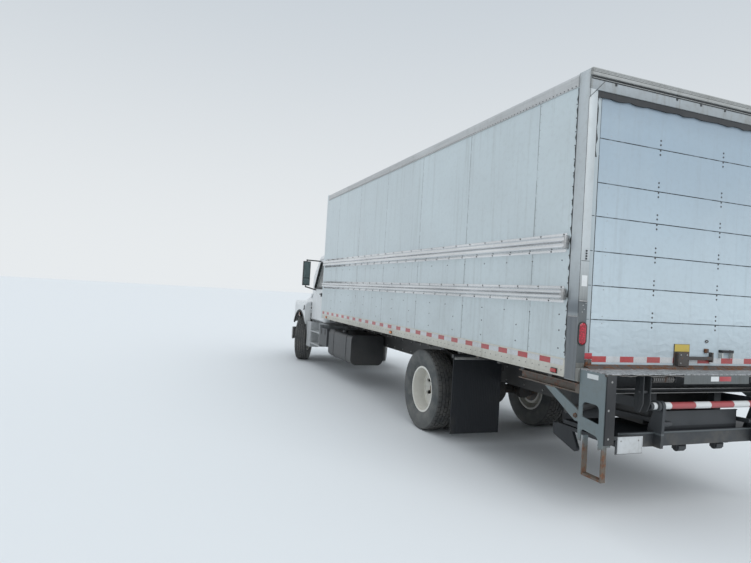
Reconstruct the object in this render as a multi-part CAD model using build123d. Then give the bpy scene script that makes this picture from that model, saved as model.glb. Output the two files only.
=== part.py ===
from build123d import *
import os
from math import cos, hypot, radians, sin

# A 26 ft dry-freight box truck with a conventional cab, dual rear wheels and a
# tuck-under lift gate. Every x below is measured forward from the load body's rear
# face, y to the left of the centre line and z up from the ground, in millimetres.

# Load body
body_length = 7920
body_half_width = 1220
body_top = 3750
floor_top = 1250
wall = 40
bottom_rail_low = 1152
bottom_rail_high = 1310
bottom_rail_depth = 36
top_rail_low = body_top - 119
roof_sheet = 24
corner_post_length = 150
corner_radius = 60
deck_thickness = 35
cross_sill_depth = 95
cross_sill_width = 50
cross_sill_pitch = 406
roof_bow_pitch = 610

# Rear portal and roll-up door
portal_depth = 170
portal_low = 1140
opening_half_width = body_half_width - 176
opening_top = body_top - 185
jamb_step = 86
step_depth = 6
jamb_depth = 55
track_width = 30
curtain_thickness = 22
seat_gap = 0.3
door_seams = (1654, 1940, 2230, 2525, 2811, 3187)
seam_width = 8
seam_depth = 6

# Rub rails on the side walls
rub_rail_rear = 200
rub_rail_levels = ((1802, 1904), (2237, 2360))
rub_rail_proud = 50

# Chassis frame
rail_outer = 432
rail_flange = 80
rail_web = 10
rail_low = 754
rail_top = 1010
rail_rear = 60
long_sill_width = 90
carrier_x = 5600
crossmember_places = (700, 2050, 3900, carrier_x, body_length - 620, body_length + 530)
crossmember_width = 80

# Wheels and tyres
tyre_radius = 525
tyre_width = 280
rim_radius = 286
rim_width = 216
rim_wall = 10
dish_wall = 12
hub_radius = 100
hand_holes = 8
hand_hole_radius = 26
hand_hole_circle = 205

# Axles
rear_axle_x = 3050
rear_outer_tyre_y = 1020
rear_inner_tyre_y = 690
front_tyre_y = 1030
drum_radius = 208
axle_tube_radius = 62
banjo_radius = 190
rear_spring_y = 480
rear_spring_width = 76
kingpin_y = 860
steer_rest = -25
steer_arm = 200
boss_radius = 45
front_spring_y = 394
front_spring_width = 72

# Cab
cab_rear = body_length + 350
cab_low = 1020
cab_top = 2560
cab_half_width = 1030
cab_wall = 60
cab_roof_half_width = 950
cowl_x = cab_rear + 1510
front_axle_x = cab_rear + 1680
belt_z = 1750
windscreen_top = (cab_rear + 860, 2490)
windscreen_base = (cab_rear + 1430, 1745)
door_rear = cab_rear + 150
door_front = cab_rear + 1110
door_low = 1035
door_top = 2440
door_gap = 8
glass_inset = 24
glass_thickness = 6
hinge_x = door_front + 22
hinge_y = cab_half_width + 16
hinge_levels = (1200, 1560)
hinge_length = 70
hinge_radius = 9
mirror_arm_radius = 14
steering_place = (cab_rear + 920, 480, 1700)
column_slope = -42

# Hood
hood_wall = 25
hood_half_width = 1180
hood_low = 862
fender_top = 1430
fender_rear = cab_rear + 1150
nose_x = cowl_x + 1150
cowl_gap = 10
arch_radius = 632
arch_z = 560
rail_front = nose_x - 130
hood_pivot_x = rail_front
hood_pivot_z = 680
hood_arm_y = 482
hood_arm_width = 18
arm_slot = 8
grille_half_width = 490
grille_low = 905
grille_high = 1365
grille_border = 42
grille_bars = 7
grille_bar_height = 20

# Bumper
bumper_front = nose_x + 36
bumper_depth = 106
bumper_wrap = 250
bumper_low = 430
bumper_top = 730
bumper_half_width = 1150
bumper_wall = 8

# Lift gate
plate_y = body_half_width - 20
plate_thickness = 12
plate_rear = -295
extension_top = 1250
plate_front = -4
gate_pivot_x = 600
gate_pivot_z = 945
gate_heel_x = -245
gate_heel_z = 983
gate_tube_radius = 28
gate_tube_half = 700
gate_arm_y = 604
gate_link_y = 456
gate_link_drop = 150
gate_arm_half = 45
gate_link_half = 18
platform_half = 950
platform_low = 640
cylinder_base_x = 900
cylinder_base_z = 700
cylinder_eye_x = 250
cylinder_eye_z = 940
cylinder_y = 530

middle_x = (bumper_front + plate_rear) / 2


def block(x, y, z):
    """A box between pairs of limits."""
    sizes = [high - low for low, high in (x, y, z)]
    centres = [(high + low) / 2 for low, high in (x, y, z)]
    return Pos(*centres) * Box(*sizes)


def outline(points):
    """A flat outline of (a, b) corners, or (a, b, radius) where a corner is rounded."""
    face = Polygon(*[point[:2] for point in points], align=None)
    for point in points:
        if len(point) == 3:
            corner = face.vertices().sort_by_distance((point[0], point[1], 0))[0]
            face = fillet(corner, point[2])
    return face


def side_cut(face, low_y, high_y):
    """Extrude an outline drawn in x and z between two y limits."""
    return extrude(Plane.XZ.offset(-high_y) * face, high_y - low_y, dir=(0, -1, 0))


def front_cut(face, low_x, high_x):
    """Extrude an outline drawn in y and z between two x limits."""
    return extrude(Plane.YZ.offset(low_x) * face, high_x - low_x, dir=(1, 0, 0))


def plan_cut(face, low_z, high_z):
    """Extrude an outline drawn in x and y between two z limits."""
    return extrude(Plane.XY.offset(low_z) * face, high_z - low_z, dir=(0, 0, 1))


def rod_between(start, end, radius):
    """A round bar from one point to another."""
    start, end = Vector(*start), Vector(*end)
    return extrude(Plane(start, z_dir=end - start) * Circle(radius), (end - start).length)


def cross_rod(x, z, radius, low_y, high_y):
    """A round bar along y."""
    return side_cut(Pos(x, z) * Circle(radius), low_y, high_y)


def both_sides(shape):
    return shape + mirror(shape, Plane.XZ)


def opposite(shape):
    return mirror(shape, Plane.XZ)


# Load body


def side_wall():
    """One whole side wall, from the rear portal to the front corner post."""
    return block(
        (portal_depth, body_length - corner_post_length),
        (body_half_width - wall, body_half_width),
        (bottom_rail_high, top_rail_low),
    )


def bottom_rails():
    """Extruded rails under the side walls, with a lip along each edge."""
    outer = body_half_width
    inner = body_half_width - bottom_rail_depth
    lip = 6
    section = outline(
        [
            (inner, bottom_rail_low),
            (outer + lip, bottom_rail_low),
            (outer + lip, bottom_rail_low + 14),
            (outer, bottom_rail_low + 14),
            (outer, bottom_rail_high - 14),
            (outer + lip, bottom_rail_high - 14),
            (outer + lip, bottom_rail_high),
            (inner, bottom_rail_high),
        ]
    )
    return both_sides(front_cut(section, portal_depth, body_length - corner_post_length))


def top_rails():
    """Extruded rails along the roof edges, rounded at the outer corner."""
    outer = body_half_width + 8
    section = outline(
        [
            (body_half_width - wall, top_rail_low),
            (outer, top_rail_low),
            (outer, body_top, 34),
            (body_half_width - 110, body_top),
            (body_half_width - 110, body_top - 30),
            (body_half_width - wall, body_top - 30),
        ]
    )
    return both_sides(front_cut(section, portal_depth, body_length - corner_post_length))


def front_wall():
    """Front wall with its rounded corner posts and top cap, as one piece."""
    back = body_length - corner_post_length
    rounded = outline(
        [
            (back, -body_half_width),
            (body_length, -body_half_width, corner_radius),
            (body_length, body_half_width, corner_radius),
            (back, body_half_width),
        ]
    )
    shell = plan_cut(rounded, bottom_rail_low, body_top)
    inside = block(
        (back, body_length - wall),
        (-body_half_width + wall, body_half_width - wall),
        (bottom_rail_low, body_top - roof_sheet),
    )
    return shell - inside


def roof():
    """Roof sheet between the top rails, with its bows underneath."""
    half = body_half_width - 110
    front = body_length - corner_post_length
    sheet = block((portal_depth, front), (-half, half), (body_top - 22, body_top - 2))
    bow_count = int((front - portal_depth) // roof_bow_pitch)
    for number in range(bow_count):
        x = portal_depth + roof_bow_pitch * (number + 0.5)
        sheet += block((x, x + 40), (-half, half), (body_top - 55, body_top - 22))
    return sheet


def body_floor():
    """Load floor, its cross sills and the two long sills on the chassis rails."""
    half = body_half_width - bottom_rail_depth
    front = body_length - wall
    deck_low = floor_top - deck_thickness
    sill_low = deck_low - cross_sill_depth
    floor = block((portal_depth, front), (-half, half), (deck_low, floor_top))
    floor -= both_sides(
        block(
            (body_length - corner_post_length, front),
            (body_half_width - wall, half),
            (deck_low, floor_top),
        )
    )
    sill_count = int((front - portal_depth) // cross_sill_pitch)
    for number in range(sill_count):
        x = portal_depth + cross_sill_pitch * (number + 0.5)
        floor += block((x, x + cross_sill_width), (-half, half), (sill_low, deck_low))
    inner = rail_outer - long_sill_width
    floor += both_sides(block((portal_depth, front), (inner, rail_outer), (rail_top, deck_low)))
    return floor


def rear_portal():
    """Rear frame: posts, header and sill round the door, with tracks behind the jambs."""
    frame = block((0, portal_depth), (-body_half_width, body_half_width), (portal_low, body_top))
    frame -= block(
        (0, jamb_depth),
        (-opening_half_width, opening_half_width),
        (floor_top, opening_top),
    )
    frame -= block(
        (jamb_depth, portal_depth),
        (-opening_half_width - track_width, opening_half_width + track_width),
        (floor_top, opening_top + track_width),
    )
    inner = opening_half_width + jamb_step
    frame -= block((0, step_depth), (-inner, inner), (floor_top, opening_top + 60))
    return frame


def roll_door():
    """Closed curtain of panels, grooved at the seams, in the tracks."""
    rear = jamb_depth + seat_gap
    half = opening_half_width + track_width - 5
    curtain = block(
        (rear, rear + curtain_thickness),
        (-half, half),
        (floor_top + seat_gap, opening_top + track_width - 5),
    )
    for seam in door_seams:
        curtain -= block(
            (rear, rear + seam_depth),
            (-opening_half_width, opening_half_width),
            (seam - seam_width / 2, seam + seam_width / 2),
        )
    return curtain


def door_latch():
    """Latch box with its bar on the bottom panel, and the grab handle beside it."""
    rear = jamb_depth + seat_gap
    plate = block((rear - 8, rear), (-70, 115), (1275, 1468))
    box = block((rear - 42, rear - 8), (-20, 100), (1275, 1395))
    bar = block((rear - 34, rear - 22), (-330, -20), (1330, 1360))
    post = block((rear - 34, rear), (-345, -325), (1310, 1400))
    handle = block((rear - 40, rear - 28), (-600, -450), (1400, 1425))
    legs = block((rear - 40, rear), (-600, -588), (1350, 1425))
    legs += block((rear - 40, rear), (-462, -450), (1350, 1425))
    return plate + box + bar + post, handle + legs


def rub_rails():
    """Two double-ridged rails along each side wall."""
    rails = None
    front = body_length - corner_post_length
    for low, high in rub_rail_levels:
        middle = (low + high) / 2
        y = body_half_width
        section = outline(
            [
                (y, low),
                (y + rub_rail_proud, low + 14, 16),
                (y + rub_rail_proud, middle - 10, 12),
                (y + rub_rail_proud - 18, middle),
                (y + rub_rail_proud, middle + 10, 12),
                (y + rub_rail_proud, high - 14, 16),
                (y, high),
            ]
        )
        rail = both_sides(front_cut(section, rub_rail_rear, front))
        rails = rail if rails is None else rails + rail
    return rails


def tail_lamps():
    """Upright oval stop lamps let into the outer face of the rear posts."""
    oval = Pos(body_half_width - 40, 1540) * SlotOverall(190, 76, rotation=90)
    return both_sides(front_cut(oval, -14, 0))


# Chassis


def chassis_frame():
    """Ladder frame of two channel rails and pressed crossmembers."""
    channel = outline(
        [
            (rail_outer, rail_low),
            (rail_outer, rail_top),
            (rail_outer - rail_flange, rail_top),
            (rail_outer - rail_flange, rail_top - rail_web),
            (rail_outer - rail_web, rail_top - rail_web),
            (rail_outer - rail_web, rail_low + rail_web),
            (rail_outer - rail_flange, rail_low + rail_web),
            (rail_outer - rail_flange, rail_low),
        ]
    )
    frame = both_sides(front_cut(channel, rail_rear, rail_front))
    inside = rail_outer - rail_web
    for x in crossmember_places:
        frame += block((x, x + crossmember_width), (-inside, inside), (rail_top - 150, rail_top - 30))
    frame += block((rail_front - 300, rail_front - 100), (-inside, inside), (rail_low, rail_low + 12))
    return frame


def tyre(y):
    """A tyre about the y axis: bead, bulged sidewall and crowned tread."""
    half = tyre_width / 2
    tread_half = half - 24
    bead = rim_width / 2 - 8
    with BuildSketch() as section:
        with BuildLine():
            Polyline(
                (rim_radius + 16, -bead),
                (rim_radius, -bead),
                (rim_radius, bead),
                (rim_radius + 16, bead),
            )
            ThreePointArc(
                (rim_radius + 16, bead),
                (rim_radius + 116, half),
                (tyre_radius - 32, half - 8),
            )
            ThreePointArc(
                (tyre_radius - 32, half - 8),
                (tyre_radius - 9, half - 14),
                (tyre_radius - 4, tread_half),
            )
            ThreePointArc((tyre_radius - 4, tread_half), (tyre_radius, 0), (tyre_radius - 4, -tread_half))
            ThreePointArc(
                (tyre_radius - 4, -tread_half),
                (tyre_radius - 9, -half + 14),
                (tyre_radius - 32, -half + 8),
            )
            ThreePointArc(
                (tyre_radius - 32, -half + 8),
                (rim_radius + 116, -half),
                (rim_radius + 16, -bead),
            )
        make_face()
    return Pos(0, y, 0) * revolve(section.sketch, Axis.Y)


def rim(y, dish_side):
    """A disc wheel about the y axis. Its bolting face lies towards dish_side."""
    half = rim_width / 2
    inner = rim_radius - rim_wall
    face_y = dish_side * (half + 47)
    bowl_y = dish_side * (half - 30)
    barrel = outline(
        [
            (rim_radius, -half + 8),
            (rim_radius, half - 8),
            (rim_radius + 14, half - 8),
            (rim_radius + 14, half),
            (inner, half),
            (inner, -half),
            (rim_radius + 14, -half),
            (rim_radius + 14, -half + 8),
        ]
    )
    back = dish_side * dish_wall
    disc = outline(
        [
            (inner + 2, bowl_y),
            (inner - 30, bowl_y),
            (170, face_y - dish_side * 6),
            (hub_radius - 30, face_y - dish_side * 6),
            (hub_radius - 30, face_y - dish_side * 6 - back),
            (165, face_y - dish_side * 6 - back),
            (inner - 38, bowl_y - back),
            (inner + 2, bowl_y - back),
        ]
    )
    wheel = revolve(barrel, Axis.Y) + revolve(disc, Axis.Y)
    for number in range(hand_holes):
        angle = radians(360 / hand_holes * (number + 0.5))
        x = hand_hole_circle * cos(angle)
        z = hand_hole_circle * sin(angle)
        wheel -= cross_rod(x, z, hand_hole_radius, min(face_y, bowl_y) - 60, max(face_y, bowl_y) + 60)
    return Pos(0, y, 0) * wheel


def rear_tyres():
    pair = tyre(rear_outer_tyre_y) + tyre(rear_inner_tyre_y)
    return Pos(rear_axle_x, 0, tyre_radius) * pair


def rear_wheels():
    """Two disc wheels bolted back to back on one hub with its brake drum."""
    outer = rim(rear_outer_tyre_y, -1)
    inner = rim(rear_inner_tyre_y, 1)
    joint_y = (rear_outer_tyre_y + rear_inner_tyre_y) / 2
    hub = cross_rod(0, 0, hub_radius, 560, joint_y + 95)
    flange = cross_rod(0, 0, 168, joint_y - 30, joint_y + 16)
    drum = cross_rod(0, 0, drum_radius, 600, joint_y - 30)
    cap = cross_rod(0, 0, 62, joint_y + 95, joint_y + 120)
    return Pos(rear_axle_x, 0, tyre_radius) * (outer + inner + hub + flange + drum + cap)


def steered(shape):
    """Turn a left-hand steered piece about its kingpin to the parked angle."""
    turn = Pos(front_axle_x, kingpin_y, 0) * Rot(0, 0, steer_rest)
    return turn * Pos(-front_axle_x, -kingpin_y, 0) * shape


def steered_right(shape):
    """The right-hand copy of a steered piece, turned the same way."""
    turn = Pos(front_axle_x, -kingpin_y, 0) * Rot(0, 0, steer_rest)
    return turn * Pos(-front_axle_x, kingpin_y, 0) * opposite(shape)


def front_tyre():
    return Pos(front_axle_x, 0, tyre_radius) * tyre(front_tyre_y)


def front_wheel():
    """Disc wheel, hub and drum, before it is steered."""
    disc_y = front_tyre_y + rim_width / 2 + 41
    drum = cross_rod(0, 0, drum_radius, 916, disc_y - 60)
    hub = cross_rod(0, 0, hub_radius, disc_y - 60, disc_y + 30)
    cap = cross_rod(0, 0, 58, disc_y + 30, disc_y + 52)
    flange = cross_rod(0, 0, 168, disc_y - 60, disc_y - 12)
    return Pos(front_axle_x, 0, tyre_radius) * (rim(front_tyre_y, 1) + drum + hub + cap + flange)


def knuckle():
    """Steering knuckle: two ears on the kingpin, a spindle flange and the steering arm."""
    z = tyre_radius
    ears = Pos(front_axle_x, kingpin_y, z + 65.3 + 22) * Cylinder(boss_radius, 44)
    ears += Pos(front_axle_x, kingpin_y, z - 65.3 - 22) * Cylinder(boss_radius, 44)
    back = block((front_axle_x - 45, front_axle_x + 45), (kingpin_y + 45.5, 915.7), (z - 109, z + 109))
    ears += block(
        (front_axle_x - 40, front_axle_x + 40),
        (kingpin_y, kingpin_y + 46),
        (z + 65.3, z + 109),
    )
    ears += block(
        (front_axle_x - 40, front_axle_x + 40),
        (kingpin_y, kingpin_y + 46),
        (z - 109, z - 65.3),
    )
    arm = block(
        (front_axle_x - steer_arm - 22, front_axle_x),
        (kingpin_y - 18, kingpin_y + 18),
        (z - 109, z - 84),
    )
    return ears + back + arm


def tie_rod():
    """Track rod between the two steering arms, at the parked steering angle."""
    x = front_axle_x - steer_arm * cos(radians(steer_rest))
    y = steer_arm * sin(radians(steer_rest))
    z = tyre_radius - 84 + seat_gap
    rod = rod_between((x, kingpin_y - y, z + 18), (x, -kingpin_y - y, z + 18), 16)
    for side in (-1, 1):
        rod += Pos(x, side * kingpin_y - y, z + 18) * Cylinder(22, 36)
    return rod


def front_axle_beam():
    """Forged beam, dropped between the spring seats, with a boss at each kingpin."""
    z = tyre_radius
    half_height = 48
    web = outline(
        [
            (-kingpin_y + 30, z + 40),
            (-kingpin_y + 30, z - 45),
            (-640, z - 70, 60),
            (-480, z - 150, 60),
            (480, z - 150, 60),
            (640, z - 70, 60),
            (kingpin_y - 30, z - 45),
            (kingpin_y - 30, z + 40),
            (620, z + half_height - 20, 60),
            (460, z - 46, 40),
            (-460, z - 46, 40),
            (-620, z + half_height - 20, 60),
        ]
    )
    beam = front_cut(web, front_axle_x - 45, front_axle_x + 45)
    for side in (-1, 1):
        pocket = block(
            (front_axle_x + side * 45 - 25, front_axle_x + side * 45 + 25),
            (-440, 440),
            (z - 130, z - 66),
        )
        beam -= pocket
    bosses = Pos(front_axle_x, kingpin_y, z) * Cylinder(boss_radius, 130)
    seat_low = z - 46
    seats = block(
        (front_axle_x - 70, front_axle_x + 70),
        (front_spring_y - front_spring_width / 2, front_spring_y + front_spring_width / 2),
        (seat_low - 20, seat_low + 30),
    )
    return beam + both_sides(bosses + seats)


def leaf_spring(middle, half_span, rise, leaves, leaf, low_y, high_y):
    """A curved stack of leaves, the long one on top with a rolled eye at each end."""
    centre_x, top_z = middle
    radius = (half_span**2 + rise**2) / (2 * rise)
    centre = Pos(centre_x, top_z + radius)
    pack = None
    for number in range(leaves):
        reach = half_span * (1 - number / (leaves + 0.5))
        inner = radius + number * leaf
        band = centre * (Circle(inner + leaf) - Circle(inner))
        band = band & Pos(centre_x, top_z) * Rectangle(2 * reach, 4 * rise)
        pack = band if pack is None else pack + band
    spring = side_cut(pack, low_y, high_y)
    for x in (centre_x - half_span, centre_x + half_span):
        spring += cross_rod(x, top_z + rise + 4, leaf + 12, low_y, high_y)
    return spring


def spring_bolts(centre_x, top_z, low_z, low_y, high_y, spread):
    """Two U-bolts over a spring, with the plate they bear on."""
    bolts = block(
        (centre_x - spread - 16, centre_x + spread + 16),
        (low_y - 20, high_y + 20),
        (top_z - 3, top_z + 14),
    )
    for x in (centre_x - spread, centre_x + spread):
        for y in (low_y - 9, high_y + 9):
            bolts += rod_between((x, y, low_z), (x, y, top_z + 44), 9)
    return bolts


def spring_hanger(x, top_z, eye_z, low_y, high_y):
    """A cast bracket that narrows from the rail to the spring eye."""
    face = outline([(x - 80, top_z), (x + 80, top_z), (x + 26, eye_z - 10, 20), (x - 26, eye_z - 10, 20)])
    return side_cut(face, low_y, high_y)


def front_springs():
    """Front leaf packs, seated on the beam and hung from brackets under the rails."""
    low_y = front_spring_y - front_spring_width / 2
    high_y = front_spring_y + front_spring_width / 2
    leaf = 12
    leaves = 3
    top_z = tyre_radius - 16 + leaves * leaf
    rise = 110
    half_span = 640
    spring = leaf_spring((front_axle_x, top_z), half_span, rise, leaves, leaf, low_y, high_y)
    for x in (front_axle_x - half_span, front_axle_x + half_span):
        spring += spring_hanger(x, rail_low, top_z + rise, low_y, high_y)
    spring += spring_bolts(front_axle_x, top_z, tyre_radius - 90, low_y, high_y, 84)
    return both_sides(spring)


def rear_springs():
    """Rear leaf packs outside the rails, seated on the axle tube."""
    low_y = rear_spring_y - rear_spring_width / 2
    high_y = rear_spring_y + rear_spring_width / 2
    leaf = 14
    leaves = 6
    top_z = tyre_radius + axle_tube_radius + leaves * leaf
    rise = 90
    half_span = 700
    spring = leaf_spring((rear_axle_x, top_z), half_span, rise, leaves, leaf, low_y, high_y)
    for x in (rear_axle_x - half_span, rear_axle_x + half_span):
        spring += spring_hanger(x, 960, top_z + rise, low_y, high_y)
        spring += block((x - 80, x + 80), (rail_outer, low_y), (rail_low + 40, 960))
    spring += spring_bolts(rear_axle_x, top_z, tyre_radius - axle_tube_radius - 34, low_y, high_y, 80)
    return both_sides(spring)


def rear_axle():
    """Banjo housing with a round differential, tubes and spring seats."""
    tube = cross_rod(0, 0, axle_tube_radius, -560 + seat_gap, 560 - seat_gap)
    banjo = revolve(
        outline(
            [
                (0, -110),
                (banjo_radius - 40, -95),
                (banjo_radius, -50),
                (banjo_radius, 50),
                (banjo_radius - 40, 95),
                (0, 110),
            ]
        ),
        Axis.Y,
    )
    nose = Pos(banjo_radius, 0, 20) * Rot(0, 90, 0) * Cone(120, 60, 160)
    for side in (-1, 1):
        seat = block((-66, 66), (rear_spring_y - 38, rear_spring_y + 38), (0, axle_tube_radius))
        seat += block((-150, -40), (270, 330), (-34, 34))
        seat += Pos(-210, 300, 0) * Rot(0, 90, 0) * Cylinder(82, 130)
        seat += Pos(-210, 300, 0) * Rot(0, 90, 0) * Cylinder(90, 22)
        tube += seat if side > 0 else opposite(seat)
    return Pos(rear_axle_x, 0, tyre_radius) * (tube + banjo + nose)


shaft_joint = (5900, 0, 700)
axle_nose_x = rear_axle_x + banjo_radius + 80
axle_nose_z = tyre_radius + 20
gearbox_rear_x = cab_rear + 330


def drive_shaft():
    """Two-piece propeller shaft with its carrier bearing hung from a crossmember."""
    front = (gearbox_rear_x - 40, 0, 800)
    rear = (axle_nose_x + 40, 0, axle_nose_z)
    shaft = rod_between(front, shaft_joint, 50) + rod_between(shaft_joint, rear, 50)
    shaft += rod_between(front, (gearbox_rear_x - seat_gap, 0, 800), 58)
    shaft += rod_between(rear, (axle_nose_x + seat_gap, 0, axle_nose_z), 58)
    for place, radius in ((front, 58), (shaft_joint, 72), (rear, 58)):
        shaft += Pos(*place) * Sphere(radius)
    hanger = block((carrier_x, carrier_x + 40), (-60, 60), (690, rail_top - 150))
    return shaft + hanger


def engine_block():
    """Engine and gearbox as one plain mass between the rails."""
    bell_x = cowl_x - 280
    engine = block((cowl_x + 15, cowl_x + 710), (-300, 300), (640, 1380))
    engine += block((bell_x, cowl_x + 15), (-300, 300), (640, 1000))
    gearbox = block((gearbox_rear_x, bell_x), (-190, 190), (650, 1000))
    feet = block((cowl_x + 300, cowl_x + 400), (280, rail_outer - rail_web), (820, 900))
    return engine + gearbox + both_sides(feet)


def radiator():
    """Core and tanks behind the grille."""
    return block((nose_x - 400, nose_x - 310), (-330, 330), (rail_low + 12, 1370))


def fuel_tank():
    """Long tank with domed edges on two brackets, outside the left rail."""
    section = outline([(470, 400, 110), (1110, 400, 110), (1110, 950, 90), (470, 950, 60)])
    rear = body_length - 1820
    tank = front_cut(section, rear, rear + 1460)
    band = offset(section, 5)
    for x in (rear + 300, rear + 1100):
        tank += block((x, x + 60), (rail_outer, 500), (rail_low, 960))
        tank += front_cut(band, x, x + 60)
    tank += Pos(rear + 700, 1000, 950) * Cylinder(52, 76)
    return tank


def battery_box():
    """Steel box behind the left steps."""
    rear = cab_rear - 630
    box = block((rear, rear + 550), (560, 1130), (560, 905))
    box += block((rear - 6, rear + 556), (560, 1136), (905, 925))
    for x in (rear + 60, rear + 420):
        box += block((x, x + 60), (rail_outer, 560), (rail_low, 905))
    return box


canister_place = (cab_rear + 330, -760, 700)


def canister(radius, length):
    """A round can along x at the exhaust cleaner's place."""
    return Pos(*canister_place) * Rot(0, 90, 0) * Cylinder(radius, length)


def exhaust():
    """Cleaner canister beside the right rail with its tail pipe."""
    can = canister(170, 620)
    bend = (body_length - 1620, -700, 700)
    end = (body_length - 2020, -1090, 640)
    pipe = rod_between((canister_place[0] - 310, -760, 700), bend, 52)
    pipe += rod_between(bend, end, 52) + Pos(*bend) * Sphere(52)
    hanger_x = body_length - 920
    can_x = canister_place[0]
    hangers = block((can_x - 100, can_x - 40), (-600, -rail_outer), (740, 900))
    hangers += block((hanger_x, hanger_x + 40), (-690, -rail_outer), (790, 830))
    hangers += block((hanger_x, hanger_x + 40), (-740, -690), (700, 830))
    return can + pipe + hangers


def air_tanks():
    """Air reservoirs across the frame between the rails."""
    tanks = None
    for x in (carrier_x - 1100, carrier_x - 600):
        tank = Pos(x, 0, 880) * Rot(90, 0, 0) * Cylinder(114, 2 * (rail_outer - rail_web))
        tanks = tank if tanks is None else tanks + tank
    return tanks


def mud_flaps():
    """Rubber flaps behind the rear wheels, hung from brackets off the rails."""
    flap = block((2196, 2206), (480, 1150), (145, 1085))
    return both_sides(flap)


def flap_brackets():
    bar = block((2206, 2246), (rail_outer, 1150), (1045, 1085))
    bar += block((2206, 2246), (rail_outer, 470), (900, 1045))
    return both_sides(bar)


# Cab


def cab_outline_side():
    return outline(
        [
            (cab_rear, cab_low, 40),
            (cab_rear, belt_z),
            (cab_rear + 40, cab_top - 20, 110),
            (windscreen_top[0] - 60, cab_top, 160),
            (windscreen_top[0], windscreen_top[1]),
            (windscreen_base[0], windscreen_base[1]),
            (cowl_x, 1640, 60),
            (cowl_x - 40, cab_low, 40),
        ]
    )


def cab_outline_front():
    return outline(
        [
            (-cab_half_width, cab_low, 30),
            (-cab_half_width, belt_z),
            (-cab_roof_half_width, cab_top, 120),
            (cab_roof_half_width, cab_top, 120),
            (cab_half_width, belt_z),
            (cab_half_width, cab_low, 30),
        ]
    )


def cab_outline_plan():
    return outline(
        [
            (cab_rear, -cab_half_width, 90),
            (door_front + 20, -cab_half_width, 200),
            (cowl_x, -cab_half_width + 190, 160),
            (cowl_x, cab_half_width - 190, 160),
            (door_front + 20, cab_half_width, 200),
            (cab_rear, cab_half_width, 90),
        ]
    )


def cab_body(inset):
    """The cab's outer form, moved inwards by an inset."""
    side = cab_outline_side()
    front = cab_outline_front()
    plan = cab_outline_plan()
    if inset:
        side = offset(side, -inset, kind=Kind.INTERSECTION)
        front = offset(front, -inset, kind=Kind.INTERSECTION)
        plan = offset(plan, -inset, kind=Kind.INTERSECTION)
    reach = 1500
    body = side_cut(side, -reach, reach)
    body = body & front_cut(front, cab_rear - reach, cowl_x + reach)
    return body & plan_cut(plan, 0, cab_top + reach)


def door_prism(gap, reach_low, reach_high):
    """The door's outline through the side wall, smaller by a gap."""
    face = outline(
        [
            (door_rear + gap, door_low + gap, 60),
            (door_front - gap, door_low + gap, 60),
            (door_front - gap, belt_z - 20),
            (windscreen_top[0] - 20 - gap, door_top - gap, 50),
            (door_rear + gap, door_top - gap, 60),
        ]
    )
    return side_cut(face, reach_low, reach_high)


def cab_floor_zone(gap):
    """The cab floor between the side walls, wider by a gap, which the doors stay clear of."""
    half = cab_half_width - cab_wall + gap
    return block((cab_rear, cowl_x), (-half, half), (cab_low, cab_low + cab_wall + gap))


def door_window(gap):
    """The door's window opening, smaller by a gap."""
    face = outline(
        [
            (door_rear + 80 + gap, belt_z + 15 + gap, 40),
            (door_front - 105 - gap, belt_z + 15 + gap, 30),
            (windscreen_top[0] - 85 - gap, door_top - 70 - gap, 50),
            (door_rear + 80 + gap, door_top - 70 - gap, 40),
        ]
    )
    return side_cut(face, 700, 1200)


def windscreen_prism(gap):
    """The windscreen's opening, smaller by a gap."""
    face = outline(
        [
            (-850 + gap, 1800 + gap, 50),
            (850 - gap, 1800 + gap, 50),
            (800 - gap, 2420 - gap, 60),
            (-800 + gap, 2420 - gap, 60),
        ]
    )
    return front_cut(face, windscreen_top[0] - 60, cowl_x + 60)


def rear_window_prism(gap):
    """The rear wall's window opening, smaller by a gap."""
    face = outline(
        [
            (-460 + gap, 1850 + gap, 50),
            (460 - gap, 1850 + gap, 50),
            (440 - gap, 2250 - gap, 50),
            (-440 + gap, 2250 - gap, 50),
        ]
    )
    return front_cut(face, cab_rear - 60, cab_rear + 160)


def cab_parts():
    """Cab shell, doors and glass, all cut from the same wall."""
    wall_solid = cab_body(0) - cab_body(cab_wall)
    glass_layer = cab_body(glass_inset) - cab_body(glass_inset + glass_thickness)
    shell = wall_solid - both_sides(door_prism(0, 700, 1200) - cab_floor_zone(0))
    shell = shell - windscreen_prism(0) - rear_window_prism(0)
    door = (wall_solid & door_prism(door_gap, 700, 1200)) - door_window(0) - cab_floor_zone(door_gap)
    door_glass = glass_layer & door_window(seat_gap)
    cab_glass = (glass_layer & windscreen_prism(seat_gap)) + (glass_layer & rear_window_prism(seat_gap))
    return shell, door, door_glass, cab_glass


def hinge_pins():
    """Door hinge knuckles on the front pillar, just outside the skin."""
    pins = None
    for z in hinge_levels:
        pin = Pos(hinge_x, hinge_y, z) * Cylinder(hinge_radius, hinge_length)
        leaf = block((hinge_x, hinge_x + 10), (cab_half_width - 40, hinge_y + 4), (z - 30, z + 30))
        pins = pin + leaf if pins is None else pins + pin + leaf
    return pins


def hinge_knuckles():
    """The door's knuckle above each fixed one, with a strap over the pillar to the skin."""
    height = 36
    knuckles = None
    for level in hinge_levels:
        low = level + hinge_length / 2 + seat_gap
        high = low + height
        knuckle = Pos(hinge_x, hinge_y, (low + high) / 2) * Cylinder(hinge_radius, height)
        strap = block((door_front - 60, hinge_x), (hinge_y - 9, hinge_y + 4), (low + 3, high - 3))
        foot = block(
            (door_front - 60, door_front - door_gap - 1),
            (cab_half_width - 8, hinge_y + 4),
            (low + 3, high - 3),
        )
        part = knuckle + strap + foot
        knuckles = part if knuckles is None else knuckles + part
    return knuckles


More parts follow.
